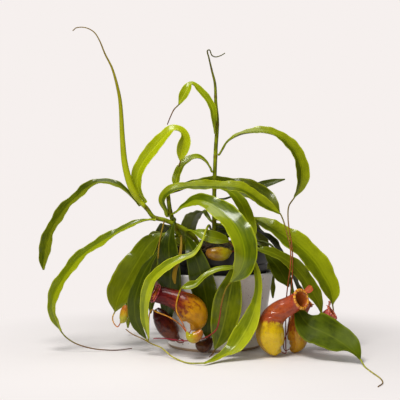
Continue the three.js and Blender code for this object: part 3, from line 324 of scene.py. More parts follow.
# Leaves of the back: rows are [out, up, aside, half width, lean] in an upright plane turned round the stem
BACK_ROWS = [
    [14, 0, 0, 1.8, 0], [34, 11, 0, 5, 0], [58, 12, 0, 9, 4], [84, -2, 0, 12, 8],
    [108, -30, 0, 13, 12], [126, -62, 0, 11, 14], [136, -90, 0, 6, 14], [140, -108, 0, 1.2, 14],
]
# Each one's stem, turn, starting height, size, drop at the tip and finish
BACK_LEAVES = [
    ("climbing_stem", 24, 144, 0.98, -14, "dark"), ("climbing_stem", 54, 157, 1.04, -2, "leaf"),
    ("climbing_stem", 84, 148, 0.96, -16, "dark"), ("climbing_stem", 112, 162, 1.06, -10, "leaf"),
    ("leaning_stem", 112, 144, 0.84, -10, "dark"), ("leaning_stem", 138, 136, 0.7, -16, "leaf"),
]
BACK_SHIFT = {"climbing_stem": 0, "leaning_stem": -46}
BACK_REACH = BACK_ROWS[-1][0]
for number, (stem, turn, start, size, drop, finish) in enumerate(BACK_LEAVES, 1):
    leaf(f"leaf_back_{number}", finish, stem, 1, dict(fold=16, wave=1.8, length=44, turn=turn), [
        [out * size, start + up + drop * (out / BACK_REACH), aside, half, lean]
        for out, up, aside, half, lean in BACK_ROWS
    ])


# Curves and rings
def unit(v):
    """The vectors of the last axis at length 1."""
    return v / np.linalg.norm(v, axis=-1, keepdims=True)


def seen(rows):
    """Places rows of the drawing sheet at their depth, on the line from the eye."""
    rows = np.asarray(rows, float)
    near = (EYE[1] - rows[:, 2]) / EYE[1]
    x = EYE[0] + (rows[:, 0] - EYE[0]) * near
    z = EYE[2] + (rows[:, 1] - EYE[2]) * near
    return np.column_stack([x, -rows[:, 2], z, rows[:, 3:]])


def path_length(rows):
    """The sum of the straight steps from row to row."""
    return float(np.linalg.norm(np.diff(np.asarray(rows)[:, :3], axis=0), axis=1).sum())


def smooth(rows, count):
    """Cubic Hermite curve through the rows, with knots at chord lengths and slopes from the neighbours."""
    rows = np.asarray(rows, float)
    steps = np.maximum(np.linalg.norm(np.diff(rows[:, :3], axis=0), axis=1), 0.01)
    knots = np.concatenate([[0.0], np.cumsum(steps)])
    last = len(rows) - 1
    before = np.maximum(np.arange(last + 1) - 1, 0)
    after = np.minimum(np.arange(last + 1) + 1, last)
    slope = (rows[after] - rows[before]) / (knots[after] - knots[before])[:, None]
    at = np.linspace(0, knots[-1], count + 1)
    k = np.clip(np.searchsorted(knots, at, side="left") - 1, 0, last - 1)
    span = (knots[k + 1] - knots[k])[:, None]
    t = np.clip((at - knots[k])[:, None] / span, 0, 1)
    curve = rows[k] + (rows[k + 1] - rows[k]) * t * t * (3 - 2 * t)
    return curve + slope[k] * t * (1 - t) ** 2 * span + slope[k + 1] * t * t * (t - 1) * span


def directions(points, rows):
    """The way along each sampled point, which at both ends is the way of the rows themselves."""
    rows = np.asarray(rows, float)[:, :3]
    along = np.gradient(points, axis=0)
    along[0] = rows[1] - rows[0]
    along[-1] = rows[-1] - rows[-2]
    return unit(along)


def carried(first, along):
    """A vector square to the path, carried from ring to ring without twist."""
    across = np.array(first, float)
    result = np.empty_like(along)
    for i, way in enumerate(along):
        across = unit(across - way * (across @ way))
        result[i] = across
    return result


def round_angles(sides):
    """A full turn in equal steps, without its end."""
    return np.arange(sides) * TURN / sides


def rings_round(points, across, other, radius, angle):
    """A ring round each point of a path, by the radius at each angle."""
    return (points[:, None] + across[:, None] * (radius * np.cos(angle))[..., None]
            + other[:, None] * (radius * np.sin(angle))[..., None])


def part(rings, material=0, **values):
    """Rings of points, alike in number, as one closed form whose ends are shut by a fan round their middle.
    The values are one number a ring, one a column, or one a point."""
    count, around = rings.shape[:2]
    points = np.concatenate([rings.reshape(-1, 3), rings[0].mean(0)[None], rings[-1].mean(0)[None]])
    k = np.arange(around)
    a = (np.arange(count - 1)[:, None] * around + k).ravel()
    b = (np.arange(count - 1)[:, None] * around + (k + 1) % around).ravel()
    end = (count - 1) * around
    first = np.column_stack([np.full(around, count * around), (k + 1) % around, k])
    last = np.column_stack([np.full(around, count * around + 1), end + k, end + (k + 1) % around])
    table = {}
    for key, value in values.items():
        grid = np.broadcast_to(np.asarray(value, float), (count, around))
        table[key] = np.concatenate([grid.ravel(), [grid[0].mean(), grid[-1].mean()]])
    return finished(points, [np.column_stack([a, b, b + around, a + around]), first, last], material, table)


def ring_part(rings, material=0, **values):
    """Rings that close on themselves both ways, such as a rim."""
    count, around = rings.shape[:2]
    i, j = np.meshgrid(np.arange(count), np.arange(around), indexing="ij")
    step, turn = (i + 1) % count, (j + 1) % around
    corners = ((i, j), (i, turn), (step, turn), (step, j))
    faces = np.column_stack([(p * around + q).ravel() for p, q in corners])
    table = {key: np.broadcast_to(value, (count, around)).ravel() for key, value in values.items()}
    return finished(rings.reshape(-1, 3), [faces], material, table)


def finished(points, faces, material, table):
    """Turns the faces outward by the sign of the volume that they enclose."""
    volume = 0.0
    centre = points.mean(0)
    for block in faces:
        corners = points[block] - centre
        for k in range(1, block.shape[1] - 1):
            volume += np.einsum("ij,ij->i", corners[:, 0], np.cross(corners[:, k], corners[:, k + 1])).sum()
    if volume < 0:
        faces = [block[:, ::-1] for block in faces]
    return {"points": points, "faces": faces, "material": material, "values": table}


def tube_rings(rows, sides, step, shape=None):
    """A round tube along rows of [x, y, z, radius]. shape(share, angle) scales the radius."""
    count = max(6, round(path_length(rows) / step))
    samples = smooth(rows, count)
    points = samples[:, :3]
    along = directions(points, rows)
    first = np.cross(along[0], FRONT)
    if np.linalg.norm(first) < 0.3:
        first = np.cross(along[0], UP)
    across = carried(first, along)
    angle = round_angles(sides)
    share = np.linspace(0, 1, count + 1)[:, None]
    radius = samples[:, 3:4] * (1 if shape is None else shape(share, angle[None]))
    return rings_round(points, across, np.cross(along, across), radius, angle), share, angle


def piece(node, parts, materials):
    """Makes one object of the parts. It stands for the node, rides with the plant and stays above the
    floor."""
    offset = 0
    points, faces, material_index = [], [], []
    keys = sorted({key for item in parts for key in item["values"]})
    table = {key: [] for key in keys}
    for item in parts:
        points.append(np.maximum(item["points"], [-np.inf, -np.inf, 0.0]) * MM)
        for block in item["faces"]:
            faces.extend((block + offset).tolist())
            material_index.append(np.full(len(block), item["material"]))
        for key in keys:
            table[key].append(item["values"].get(key, np.zeros(len(item["points"]))))
        offset += len(item["points"])
    mesh = bpy.data.meshes.new(node + "_look")
    mesh.from_pydata(np.concatenate(points).tolist(), [], faces)
    mesh.polygons.foreach_set("material_index", np.concatenate(material_index))
    mesh.polygons.foreach_set("use_smooth", np.full(len(mesh.polygons), True))
    for key in keys:
        mesh.attributes.new(key, "FLOAT", "POINT").data.foreach_set("value", np.concatenate(table[key]))
    for item in materials:
        mesh.materials.append(item)
    mesh.update()
    obj = bpy.data.objects.new(node + "_look", mesh)
    bpy.context.collection.objects.link(obj)
    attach(obj, "root")
    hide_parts(node)


# Leaves
STEM_LINES = {name: smooth(seen(rows), STEM["samples"]) for name, rows in STEM_ROUTES.items()}


def seat(stem, place, following):
    """The point just off a stem's bark on the side of a place, and the way out from it. The leaf rises or
    falls to the place from a little further back along its own first stretch."""
    line = STEM_LINES[stem]
    start = place + unit(place - following) * PETIOLE["back"]
    i = max(1, int(np.argmin(np.linalg.norm(line[:, :3] - start, axis=1))))
    along = unit(line[i, :3] - line[i - 1, :3])
    out = place - line[i, :3]
    out = unit(out - along * (out @ along))
    return line[i, :3] + out * (line[i, 3] + GAP), out


def placed_rows(shape):
    """A leaf's own rows in place, from its seat on the stem to its tip."""
    if shape["turn"] is None:
        rows = seen(shape["rows"])
    else:
        angle = math.radians(shape["turn"])
        rows = np.array(shape["rows"], float)
        out, up, aside = rows[:, :3].T.copy()
        rows[:, 0] = out * math.cos(angle) - aside * math.sin(angle) + BACK_SHIFT[shape["stem"]]
        rows[:, 1] = out * math.sin(angle) + aside * math.cos(angle)
        rows[:, 2] = up
    point, out = seat(shape["stem"], rows[0, :3], rows[1, :3])
    half, lean = min(PETIOLE["half"], rows[0, 3]), rows[0, 4]
    return np.concatenate([[[*point, half, lean], [*(point + out * PETIOLE["reach"]), half, lean]], rows])


def blade_rings(rows, bend, fold, wave, length, phase, view, ripple=BLADE["ripple"]):
    """A thin folded strip: each ring is the blade's section, upper face first and lower face back.
    The section's edges wave up and down along the blade, and a finer ripple rides on them. The midrib is a
    groove above and a keel below."""
    reach = path_length(rows)
    count = max(24, round(reach / BLADE["step"]))
    samples = smooth(rows, count)
    points = samples[:, :3]
    along = directions(points, rows)
    half = np.maximum(samples[:, 3], 0.75)[:, None]
    lean = np.radians(samples[:, 4])[:, None]
    facing = unit(view - along * (along @ view)[:, None])
    normal = np.cross(facing, along) * bend * np.cos(lean) + facing * np.sin(lean)
    side = np.cross(normal, along)
    share = np.linspace(0, 1, count + 1)[:, None]
    turn = TURN * share * reach / length + phase
    wide = np.minimum(half / 8, 1)
    v = np.sin(np.linspace(-math.pi / 2, math.pi / 2, BLADE["columns"]))[None]
    waves = np.where(v < 0, np.sin(turn), np.sin(turn + 2)) * wave * wide
    fine = np.sin(turn * length / 15 + 1.3 * np.sign(v)) * ripple * wide * np.abs(v) ** 3
    opened = np.radians(fold * np.clip((half - 1.3) / 3, 0, 1))
    x = half * np.cos(opened) * v
    y = half * np.sin(opened) * np.abs(v) ** 1.3 + waves * v * v + fine
    slope = unit(np.stack([np.gradient(x, axis=1), np.gradient(y, axis=1)], axis=-1))
    rib = np.minimum(half, BLADE["rib"] + 1.2 / half)
    body = BLADE["edge"] + (rib - BLADE["edge"]) * (1 - np.abs(v)) ** 1.5
    above = body - BLADE["groove"] * wide * np.exp(-((x / 0.9) ** 2))
    below = body + BLADE["keel"] * wide * np.exp(-((x / 1.0) ** 2))
    section_x = np.concatenate([x - slope[..., 1] * above, (x + slope[..., 1] * below)[:, ::-1]], axis=1)
    section_y = np.concatenate([y + slope[..., 0] * above, (y - slope[..., 0] * below)[:, ::-1]], axis=1)
    rings = points[:, None] + side[:, None] * section_x[..., None] + normal[:, None] * section_y[..., None]
    across = np.concatenate([v, v[:, ::-1]], axis=1)
    under = np.repeat([0.0, 1.0], BLADE["columns"])[None]
    return rings, dict(share=share, across=across, under=under, run=share * reach, aside=across * half)


def tendril_rows(shape, rows):
    """The tendril starts inside the leaf's tip, stays above the floor and ends at its pitcher."""
    tip = rows[-1, :3]
    back = unit(tip - rows[-2, :3]) * -TENDRIL["sink"]
    route = [tip + back, tip, *seen(shape["tendril"])[:, :3]]
    if shape["feeds"]:
        line = seen(PITCHERS[shape["feeds"]]["rows"])[:, :3]
        way = unit(line[1] - line[0])
        route += [line[0] - way * TENDRIL["last"], line[0] - way * GAP]
    route = np.array(route)
    radius = np.linspace(TENDRIL["start"], TENDRIL["end"], len(route))
    route[:, 2] = np.maximum(route[:, 2], radius + TENDRIL["above"])
    return np.column_stack([route, radius])


def rolled_edge(share, angle):
    """A rolled young leaf shows the edge of its outer turn as a step that winds slowly round it."""
    start = (angle - 1.5 * share - 0.8) % TURN
    return 1 + ROLLED["edge"] * (start / TURN - 0.5) * np.clip((1 - share) * 3, 0, 1)


# Pitchers
def faded(share, end):
    """None at the foot and at the mouth, and full between."""
    return np.clip(share / 0.2, 0, 1) * np.clip((1 - share) / end, 0, 1)


def two_ridges(off, width):
    """Two ridges, an angle apart on both sides of the front."""
    return sum(np.exp(-(((off - place) / width) ** 2)) for place in (-PITCHER["wings"], PITCHER["wings"]))


def pitcher_open(name):
    """An open pitcher: outer and inner skins joined at the rim, a collar, a lid and a spur. Its rings turn
    into the mouth's slant over the last quarter. Two narrow wings run down its front, and slow waves swell
    it a little."""
    data = PITCHERS[name]
    rows = seen(data["rows"])
    reach = path_length(rows)
    count = round(reach / PITCHER["step"])
    share = np.linspace(0, 1, count + 1)[:, None]
    samples = smooth(rows, count)
    points, radius = samples[:, :3], samples[:, 3:4]
    along = directions(points, rows)
    mouth = unit(np.array(data["mouth"], float))
    hinge = np.array(data["lid"]["hinge"], float)
    slant = np.clip((share - PITCHER["slant"]) / (1 - PITCHER["slant"]), 0, None) ** 2
    facing = unit(along * (1 - slant) + mouth * slant)
    across = carried(np.cross(along[0], FRONT), facing)
    other = np.cross(facing, across)
    ahead = facing * (facing @ hinge)[:, None] - hinge
    front = np.arctan2((ahead * other).sum(1), (ahead * across).sum(1))[:, None]
    angle = round_angles(PITCHER["sides"])[None]
    off = (angle - front + math.pi) % TURN - math.pi
    fade = faded(share, 0.12)
    wings = PITCHER["wing"] * two_ridges(off, 0.09) * fade * np.clip(radius / 10, 0.3, 1.2)
    waves = np.sin(2 * angle + 5 * share) * 0.6 + np.sin(3 * angle - 9 * share) * 0.4
    swell = 1 + PITCHER["swell"] * fade * waves
    low = int(PITCHER["low"] * count)

    def up_and_down(outer, inner):
        return np.concatenate([outer, inner[low:][::-1]])

    outside = rings_round(points, across, other, (radius + wings) * swell, angle)
    inside = rings_round(points, across, other, (radius - PITCHER["wall"]) * swell, angle)
    both = up_and_down(share, share)
    body = part(up_and_down(outside, inside), share=both, within=up_and_down(share * 0, share * 0 + 1),
                ahead=up_and_down(np.abs(off), np.abs(off)) / math.pi, turn=angle / TURN, run=both * reach)
    back = unit(hinge - mouth * (hinge @ mouth))
    rim, edge = points[-1], radius[-1, 0]
    return [body, collar(rim, mouth, across[-1], other[-1], edge, back),
            *lid_parts(data["lid"], rim + back * edge, mouth, back)]


def collar(rim, mouth, across, other, edge, back):
    """The rolled collar round the mouth: an oval section that bends down outside, with fine ribs across it,
    drawn up where the lid stands."""
    angle = round_angles(COLLAR["sides"])[:, None]
    roll = round_angles(COLLAR["around"])[None]
    way = across * np.cos(angle) + other * np.sin(angle)
    near = (way @ back)[:, None]
    rib = 1 + COLLAR["rib"] * np.sin(angle * COLLAR["ribs"])
    out = edge - 0.1 + np.cos(roll) * COLLAR["out"] * rib
    up = np.sin(roll) * rib - COLLAR["bend"] * np.cos(roll) * (1 + np.cos(roll)) + COLLAR["up"]
    up = up + COLLAR["rise"] * np.clip(near - 0.75, 0, None)
    rings = rim + way[:, None] * out[..., None] + mouth * up[..., None]
    return ring_part(rings, 1, turn=angle / TURN, across=np.cos(roll), share=0.5 + 0.5 * near)


def lid_parts(lid, foot, mouth, back):
    """The lid, a small folded blade that stands on the rim and leans back, and the spur behind it."""
    length, half = lid["length"], lid["half"]
    rows = [[*(foot + back * length * a * LID_SHAPE["out"] + mouth * length * (a * LID_SHAPE["up"] + over)),
             half * width, 0] for a, width, over in LID]
    rings, values = blade_rings(np.array(rows), 1, LID_SHAPE["fold"], 0, length, 0, np.cross(mouth, back),
                                LID_SHAPE["ripple"])
    spur_rows = np.array([[*(foot + back * out + mouth * up), radius] for out, up, radius in SPUR])
    spur, share, _ = tube_rings(spur_rows, SPUR_SHAPE["sides"], SPUR_SHAPE["step"])
    return [part(rings, 2, **values), part(spur, 2, share=share, across=0.5)]


def pitcher_shut(name):
    """A young pitcher: a swelling tube whose tip is shut by the unopened lid's seam."""
    rows = seen(PITCHERS[name]["rows"])

    def shape(share, angle):
        fade = faded(share, 0.15)
        ridges = two_ridges(angle - 1.2 - PITCHER["wings"], 0.1)
        seam = np.exp(-(((share - 0.8 - 0.05 * np.sin(angle)) / 0.02) ** 2))
        return 1 + 0.07 * ridges * fade - 0.04 * seam + 0.02 * fade * np.sin(3 * angle + 6 * share)

    rings, share, angle = tube_rings(rows, PITCHER["sides"], PITCHER["fine step"], shape)
    return [part(rings, share=share, within=0, ahead=1, turn=angle[None] / TURN,
                 run=share * path_length(rows))]


# Pots
def revolved(profile, step, rough=0.0):
    """A profile of [radius, height] turned round the upright axis, with its corners eased and a slight
    wobble."""
    profile = np.array(profile, float)
    lengths = np.linalg.norm(np.diff(profile, axis=0), axis=1)
    line = [profile[0]]
    for i in range(1, len(profile) - 1):
        corner = profile[i]
        cut = min(TURNED["eased"], lengths[i - 1] * 0.4, lengths[i] * 0.4)
        a = corner + unit(profile[i - 1] - corner) * cut
        b = corner + unit(profile[i + 1] - corner) * cut
        line += [a * (1 - t) ** 2 + corner * 2 * t * (1 - t) + b * t * t for t in (0, 0.33, 0.67, 1)]
    line.append(profile[-1])
    dense = []
    for a, b in zip(line, line[1:]):
        pieces = max(1, round(float(np.linalg.norm(b - a)) / step))
        dense += [a + (b - a) * k / pieces for k in range(1, pieces + 1)]
    dense = np.array(dense[:-1])
    angle = round_angles(TURNED["sides"])[None]
    radius, height = dense[:, :1], dense[:, 1:]
    wobble = rough * (np.sin(height * 0.9 + 2 * angle) * 0.5 + np.sin(3 * angle + height * 0.23) * 0.5)
    radius = radius + wobble * np.clip(radius / 50, 0, 1)
    height = np.broadcast_to(height, radius.shape)
    rings = np.stack([radius * np.cos(angle), radius * np.sin(angle), height], -1)
    return part(rings, share=height / 100, turn=angle / TURN)


def outer_pot():
    """The tapered outer pot, with a rounded lip and a flat foot."""
    height, rim, foot, wall, floor, lip = OUTER_POT.values()
    return revolved([
        [0, 0], [foot - 1.5, 0], [foot + 1.5, 4], [rim - 1.5, height - 8], [rim, height - lip],
        [rim - 1, height], [rim - wall + 1, height], [rim - wall, height - lip], [foot - wall, floor + 3],
        [foot - wall - 4, floor], [0, floor],
    ], TURNED["steps"][0], TURNED["rough"])


def nursery_pot():
    """The thin nursery pot, which widens in a band at its rim."""
    height, rim, band, step, shoulder, foot, wall = NURSERY_POT.values()
    base = OUTER_POT["floor"] + GAP
    top = base + height
    return revolved([
        [0, base], [foot - 2, base], [foot, base + 3], [shoulder - step, top - band - 2],
        [shoulder, top - band], [rim - 1, top - 2], [rim, top], [rim - wall - 1, top],
        [shoulder - wall, top - band + 1], [shoulder - step - wall, top - band - 2.5],
        [foot - wall, base + 4], [foot - wall - 3, base + wall], [0, base + wall],
    ], TURNED["steps"][1])


# Growing medium
def soil_height(share, angle, inside, top):
    """The mound's height: a rounded rise towards the middle, with slow and finer lumps round it."""
    i = SOIL["rings"] * (1 - share)
    lump = np.sin(3 * angle + 4 * i) + np.sin(5 * angle - 2.3 * i)
    rise = SOIL["mound"] * (1 - np.clip(share, 0, 1) ** 1.6) ** 1.3
    x, y = share * inside * np.cos(angle), share * inside * np.sin(angle)
    fine = sum(np.sin(x * f + 1.7 * k) * np.sin(y * f * 1.13 - 2.1 * k) / (k + 1.5)
               for k, f in enumerate((0.21, 0.47, 0.93, 1.7)))
    return top - 3 + rise + SOIL["lumps"] * lump * share + 0.9 * fine * np.clip((1 - share) * 8, 0, 1)


def chip(place, size, spin, bend, rng):
    """A bark chip: a squashed ball whose radius follows seeded noise, with a tone of its own."""
    lat = np.linspace(-1, 1, CHIPS["rows"])[:, None] * math.pi / 2 * CHIPS["cap"]
    lon = round_angles(CHIPS["sides"])[None]
    rough = 1 + CHIPS["rough"] * rng.standard_normal((CHIPS["rows"], CHIPS["sides"]))
    ball = np.stack([np.cos(lat) * np.cos(lon) * rough, np.cos(lat) * np.sin(lon) * rough,
                     np.broadcast_to(np.sin(lat), rough.shape)], -1) * size
    c, s = math.cos(spin), math.sin(spin)
    turn = np.array([[c, -s, 0], [s, c, 0], [0, 0, 1]])
    c, s = math.cos(bend), math.sin(bend)
    tilt = np.array([[c, 0, s], [0, 1, 0], [-s, 0, c]])
    return part(ball @ (turn @ tilt).T + place, 1, tone=rng.random())


def growing_medium():
    """The mound with bark chips lying on it."""
    pot = NURSERY_POT
    base = OUTER_POT["floor"] + GAP
    top = base + pot["height"] - SOIL["below"]
    inside = pot["shoulder"] - pot["step"] - pot["wall"] - SOIL["clearance"] - SOIL["slack"]
    foot = pot["foot"] - pot["wall"] - SOIL["clearance"] - 4
    band = base + pot["height"] - pot["band"] - 4
    angle = round_angles(SOIL["sides"])
    levels = [(foot, base + pot["wall"] + GAP), (inside, band), (inside, top - 4.5)]
    levels += [(share * inside, soil_height(share, angle, inside, top))
               for share in np.linspace(0.995, 0.01, SOIL["steps"])]
    rings = [np.stack([radius * np.cos(angle), radius * np.sin(angle), height + 0 * angle], -1)
             for radius, height in levels]
    parts = [part(np.array(rings))]
    rng = np.random.default_rng(SEED)
    for _ in range(CHIPS["count"]):
        share, turn = math.sqrt(rng.random()) * CHIPS["reach"], rng.random() * TURN
        size = np.array([rng.uniform(*ends) for ends in CHIPS["sizes"]])
        height = float(soil_height(share, turn, inside, top)) + CHIPS["lifted"]
        place = np.array([share * inside * math.cos(turn), share * inside * math.sin(turn), height])
        parts.append(chip(place, size, rng.random() * CHIPS["spin"], rng.uniform(*CHIPS["tilt"]), rng))
    return parts


# Materials
BRIGHT = (246, 240, 238)
FRECKLE = (96, 60, 22)
FLECK = (70, 36, 22)
SPECK = (120, 52, 18)
THROAT = ((60, 24, 8), (176, 92, 36))
COLLAR_BANDS = 26.0
SLANT_MIDDLE = 0.07


def linear(colour):
    """A display colour of 0 to 255 as linear light."""
    c = np.array(colour) / 255
    return (*np.where(c <= 0.04045, c / 12.92, ((c + 0.055) / 1.055) ** 2.4).tolist(), 1.0)


class Nodes:
    """A node tree, with short names for the nodes that the looks use. A colour is a socket or a display
    colour of 0 to 255."""

    def __init__(self, tree):
        self.tree = tree

    def fill(self, item, inputs):
        """Links or sets a node's inputs."""
        for key, value in inputs.items():
            if isinstance(value, bpy.types.NodeSocket):
                self.tree.links.new(value, item.inputs[key])
            else:
                item.inputs[key].default_value = value

    def put(self, kind, inputs=None, **settings):
        """Adds a node, sets its properties and fills its inputs."""
        item = self.tree.nodes.new(kind)
        for key, value in settings.items():
            setattr(item, key, value)
        self.fill(item, inputs or {})
        return item

    def calc(self, operation, a, b=0.0):
        return self.put("ShaderNodeMath", {0: a, 1: b}, operation=operation).outputs[0]

    def plus(self, a, b):
        return self.calc("ADD", a, b)

    def times(self, a, b):
        return self.calc("MULTIPLY", a, b)

    def ranged(self, value, low, high, start=0.0, end=1.0):
        """Start where the value is at low and end where it is at high, eased between and held beyond."""
        return self.put("ShaderNodeMapRange", {"Value": value, "From Min": low, "From Max": high,
                                               "To Min": start, "To Max": end},
                        interpolation_type="SMOOTHSTEP").outputs[0]

    def blend(self, amount, a, b):
        """One colour turning into another."""
        a, b = (linear(colour) if isinstance(colour, tuple) else colour for colour in (a, b))
        return self.put("ShaderNodeMix", {"Factor": amount, 6: a, 7: b}, data_type="RGBA").outputs[2]

    def over(self, colour, mask, share, other):
        """A colour with another laid over it by a share of the mask."""
        return self.blend(self.times(mask, share), colour, other)

    def value(self, name):
        """One of the piece's own values."""
        return self.put("ShaderNodeAttribute", attribute_name=name).outputs["Fac"]

    def place(self):
        return self.put("ShaderNodeTexCoord").outputs["Object"]

    def triple(self, x, y, z):
        return self.put("ShaderNodeCombineXYZ", {0: x, 1: y, 2: z}).outputs[0]

    def noise(self, scale, detail=3.0, roughness=0.55, at=None):
        """Noise at Object coordinates, or at another place."""
        return self.put("ShaderNodeTexNoise", {"Vector": self.place() if at is None else at, "Scale": scale,
                                               "Detail": detail, "Roughness": roughness}).outputs[0]

    def marks(self, group):
        """Places a group whose inputs are named after the piece's own values."""
        item = self.put("ShaderNodeGroup", node_tree=group)
        self.fill(item, {title: self.value(title.lower()) for title in item.inputs.keys()})
        return item.outputs


class Marks(Nodes):
    """A node group of masks with named inputs and outputs."""

    def __init__(self, name, ins, outs):
        super().__init__(bpy.data.node_groups.new(name, "ShaderNodeTree"))
        for side, titles in (("INPUT", ins), ("OUTPUT", outs)):
            for title in titles:
                self.tree.interface.new_socket(title, in_out=side, socket_type="NodeSocketFloat")
        self.given = self.put("NodeGroupInput").outputs
        self.result = self.put("NodeGroupOutput")

    def give(self, **masks):
        self.fill(self.result, masks)
        return self.tree


class Finish(Nodes):
    """A material with one Principled shader."""

    def __init__(self, name):
        self.material = bpy.data.materials.new(name)
        self.material.use_nodes = True
        super().__init__(self.material.node_tree)
        self.tree.nodes.clear()
        self.shader = self.put("ShaderNodeBsdfPrincipled")
        self.output = self.put("ShaderNodeOutputMaterial", {"Surface": self.shader.outputs[0]})

    def settle(self, colour, roughness, height=None, relief=0.2, distance=0.0004, wax=None, coat=None,
               specular=None, flesh=None):
        """Fills the shader's sockets. Relief and distance are the strength and depth of the bumps. Flesh is
        how far light goes into it: weight, scale and the reach of red, green and blue."""
        inputs = {"Base Color": colour, "Roughness": roughness, "Coat Weight": wax, "Coat Roughness": coat,
                  "Specular IOR Level": specular}
        if flesh:
            inputs.update(zip(("Subsurface Weight", "Subsurface Scale", "Subsurface Radius"), flesh))
        if height is not None:
            bump = {"Strength": relief, "Distance": distance, "Height": height}
            inputs["Normal"] = self.put("ShaderNodeBump", bump).outputs[0]
        self.fill(self.shader, {key: value for key, value in inputs.items() if value is not None})
        return self.material


def make_blade_marks():
    """Masks of a blade: its midrib, its margin, lengthwise veins, patches, freckles, and a height for relief
    that has slanted veins too. Run and Aside are millimetres along and across the blade."""
    g = Marks("Blade marks", ("Run", "Aside", "Across"),
              ("Rib", "Margin", "Veins", "Patches", "Freckles", "Height"))
    run, across = g.given["Run"], g.given["Across"]
    wide = g.calc("ABSOLUTE", g.given["Aside"])
    where = g.triple(g.times(run, 0.035), g.times(across, 3.0), 0.0)
    veins = g.ranged(g.noise(2.2, 2.0, 0.5, where), 0.42, 0.62)
    wave = g.calc("SINE", g.plus(g.times(run, 0.62), g.times(wide, -0.75)))
    slanted = g.times(g.ranged(g.calc("ABSOLUTE", wave), 0.0, 0.6, 1.0, 0.0), g.ranged(wide, 2.0, 6.0))
    groups = g.ranged(g.noise(60.0, 2.0), 0.5, 0.7)
    freckles = g.times(g.ranged(g.noise(300.0, 2.0, 0.5), 0.68, 0.76), groups)
    return g.give(Rib=g.ranged(wide, 0.35, 1.25, 1.0, 0.0), Veins=veins, Freckles=freckles,
                  Margin=g.ranged(g.calc("ABSOLUTE", across), 0.86, 0.97), Patches=g.noise(42.0, 4.0, 0.6),
                  Height=g.plus(g.times(veins, 0.5), g.times(slanted, -0.2)))


def make_streaks():
    """Streaks that run along a pitcher, blotches and fine speckles."""
    g = Marks("Streaks", ("Run", "Turn"), ("Streaks", "Blotches", "Specks"))
    angle = g.times(g.given["Turn"], TURN)
    where = g.triple(g.calc("COSINE", angle), g.calc("SINE", angle), g.times(g.given["Run"], 0.045))
    return g.give(Streaks=g.ranged(g.noise(3.6, 4.0, 0.6, where), 0.47, 0.62),
                  Blotches=g.ranged(g.noise(95.0, 3.0, 0.6), 0.45, 0.63),
                  Specks=g.ranged(g.noise(620.0, 2.0, 0.5), 0.58, 0.7))


def leaf_material(name, tip, base, deep, rib, rough, wax):
    """A glossy blade: base colour to tip colour along it, deeper patches, a pale midrib, a pale margin that
    is partly its own edge and partly painted rim light, painted shade on one half and painted light on the
    other where half says so, and a duller and paler lower face."""
    m = Finish(name)
    marks, half, under = m.marks(BLADE_MARKS), m.value("half"), m.value("under")
    colour = m.blend(m.ranged(m.value("share"), 0.15, 0.95), base, tip)
    shade = m.ranged(m.plus(marks["Patches"], m.times(m.value("tone"), 0.22)), 0.42, 0.82)
    colour = m.over(colour, shade, 0.75, deep)
    # Painted shade on one half of the blade and painted light on the other, where half says so
    colour = m.over(colour, m.ranged(half, -0.3, 0.0, 1.0, 0.0), 0.45, deep)
    colour = m.over(colour, m.ranged(half, 0.0, 0.3), 0.3, rib)
    # The pale margin is partly the blade's own edge and partly painted rim light
    for mark, share in (("Veins", 0.1), ("Rib", 0.26), ("Margin", 0.6)):
        colour = m.over(colour, marks[mark], share, rib)
    colour = m.over(colour, marks["Freckles"], 0.3, FRECKLE)
    colour = m.over(colour, under, 0.5, m.blend(0.3, colour, rib))
    roughness = m.plus(m.plus(rough, m.times(under, 0.18)), m.times(marks["Patches"], 0.12))
    return m.settle(colour, roughness, marks["Height"], 0.1, 0.0003, wax=wax, coat=0.18, specular=0.1)


def tendril_material(name, near, middle, far):
    """A tendril: the leaf's green at its start, turning brown and then red, with darker flecks."""
    m = Finish(name)
    along = m.value("share")
    flecks = m.ranged(m.noise(260.0, 3.0), 0.45, 0.6)
    colour = m.blend(m.ranged(along, 0.02, 0.4), near, middle)
    colour = m.blend(m.ranged(along, 0.45, 0.95), colour, far)
    return m.settle(m.over(colour, flecks, 0.45, FLECK), 0.42, flecks, 0.25, 0.0003, specular=0.2)


def stem_material():
    """A woody green stem, brown at its foot, its rings and its top, with fine lengthwise grain."""
    m = Finish("stem bark")
    where = m.triple(m.times(m.value("turn"), 14.0), m.times(m.value("run"), 0.06), 0.0)
    grain = m.noise(3.0, 4.0, at=where)
    colour = m.blend(m.ranged(m.noise(70.0, 4.0), 0.38, 0.66), (126, 136, 6), (88, 96, 4))
    colour = m.over(colour, m.ranged(grain, 0.5, 0.68), 0.3, (98, 78, 16))
    colour = m.over(colour, m.value("ring"), 0.55, (94, 66, 16))
    colour = m.over(colour, m.ranged(m.value("share"), 0.0, 0.22, 1.0, 0.0), 0.7, (84, 66, 24))
    colour = m.over(colour, m.ranged(m.value("top"), 0.66, 0.86), 0.75, (58, 50, 10))
    return m.settle(colour, 0.48, grain, 0.4, 0.0006, specular=0.15)


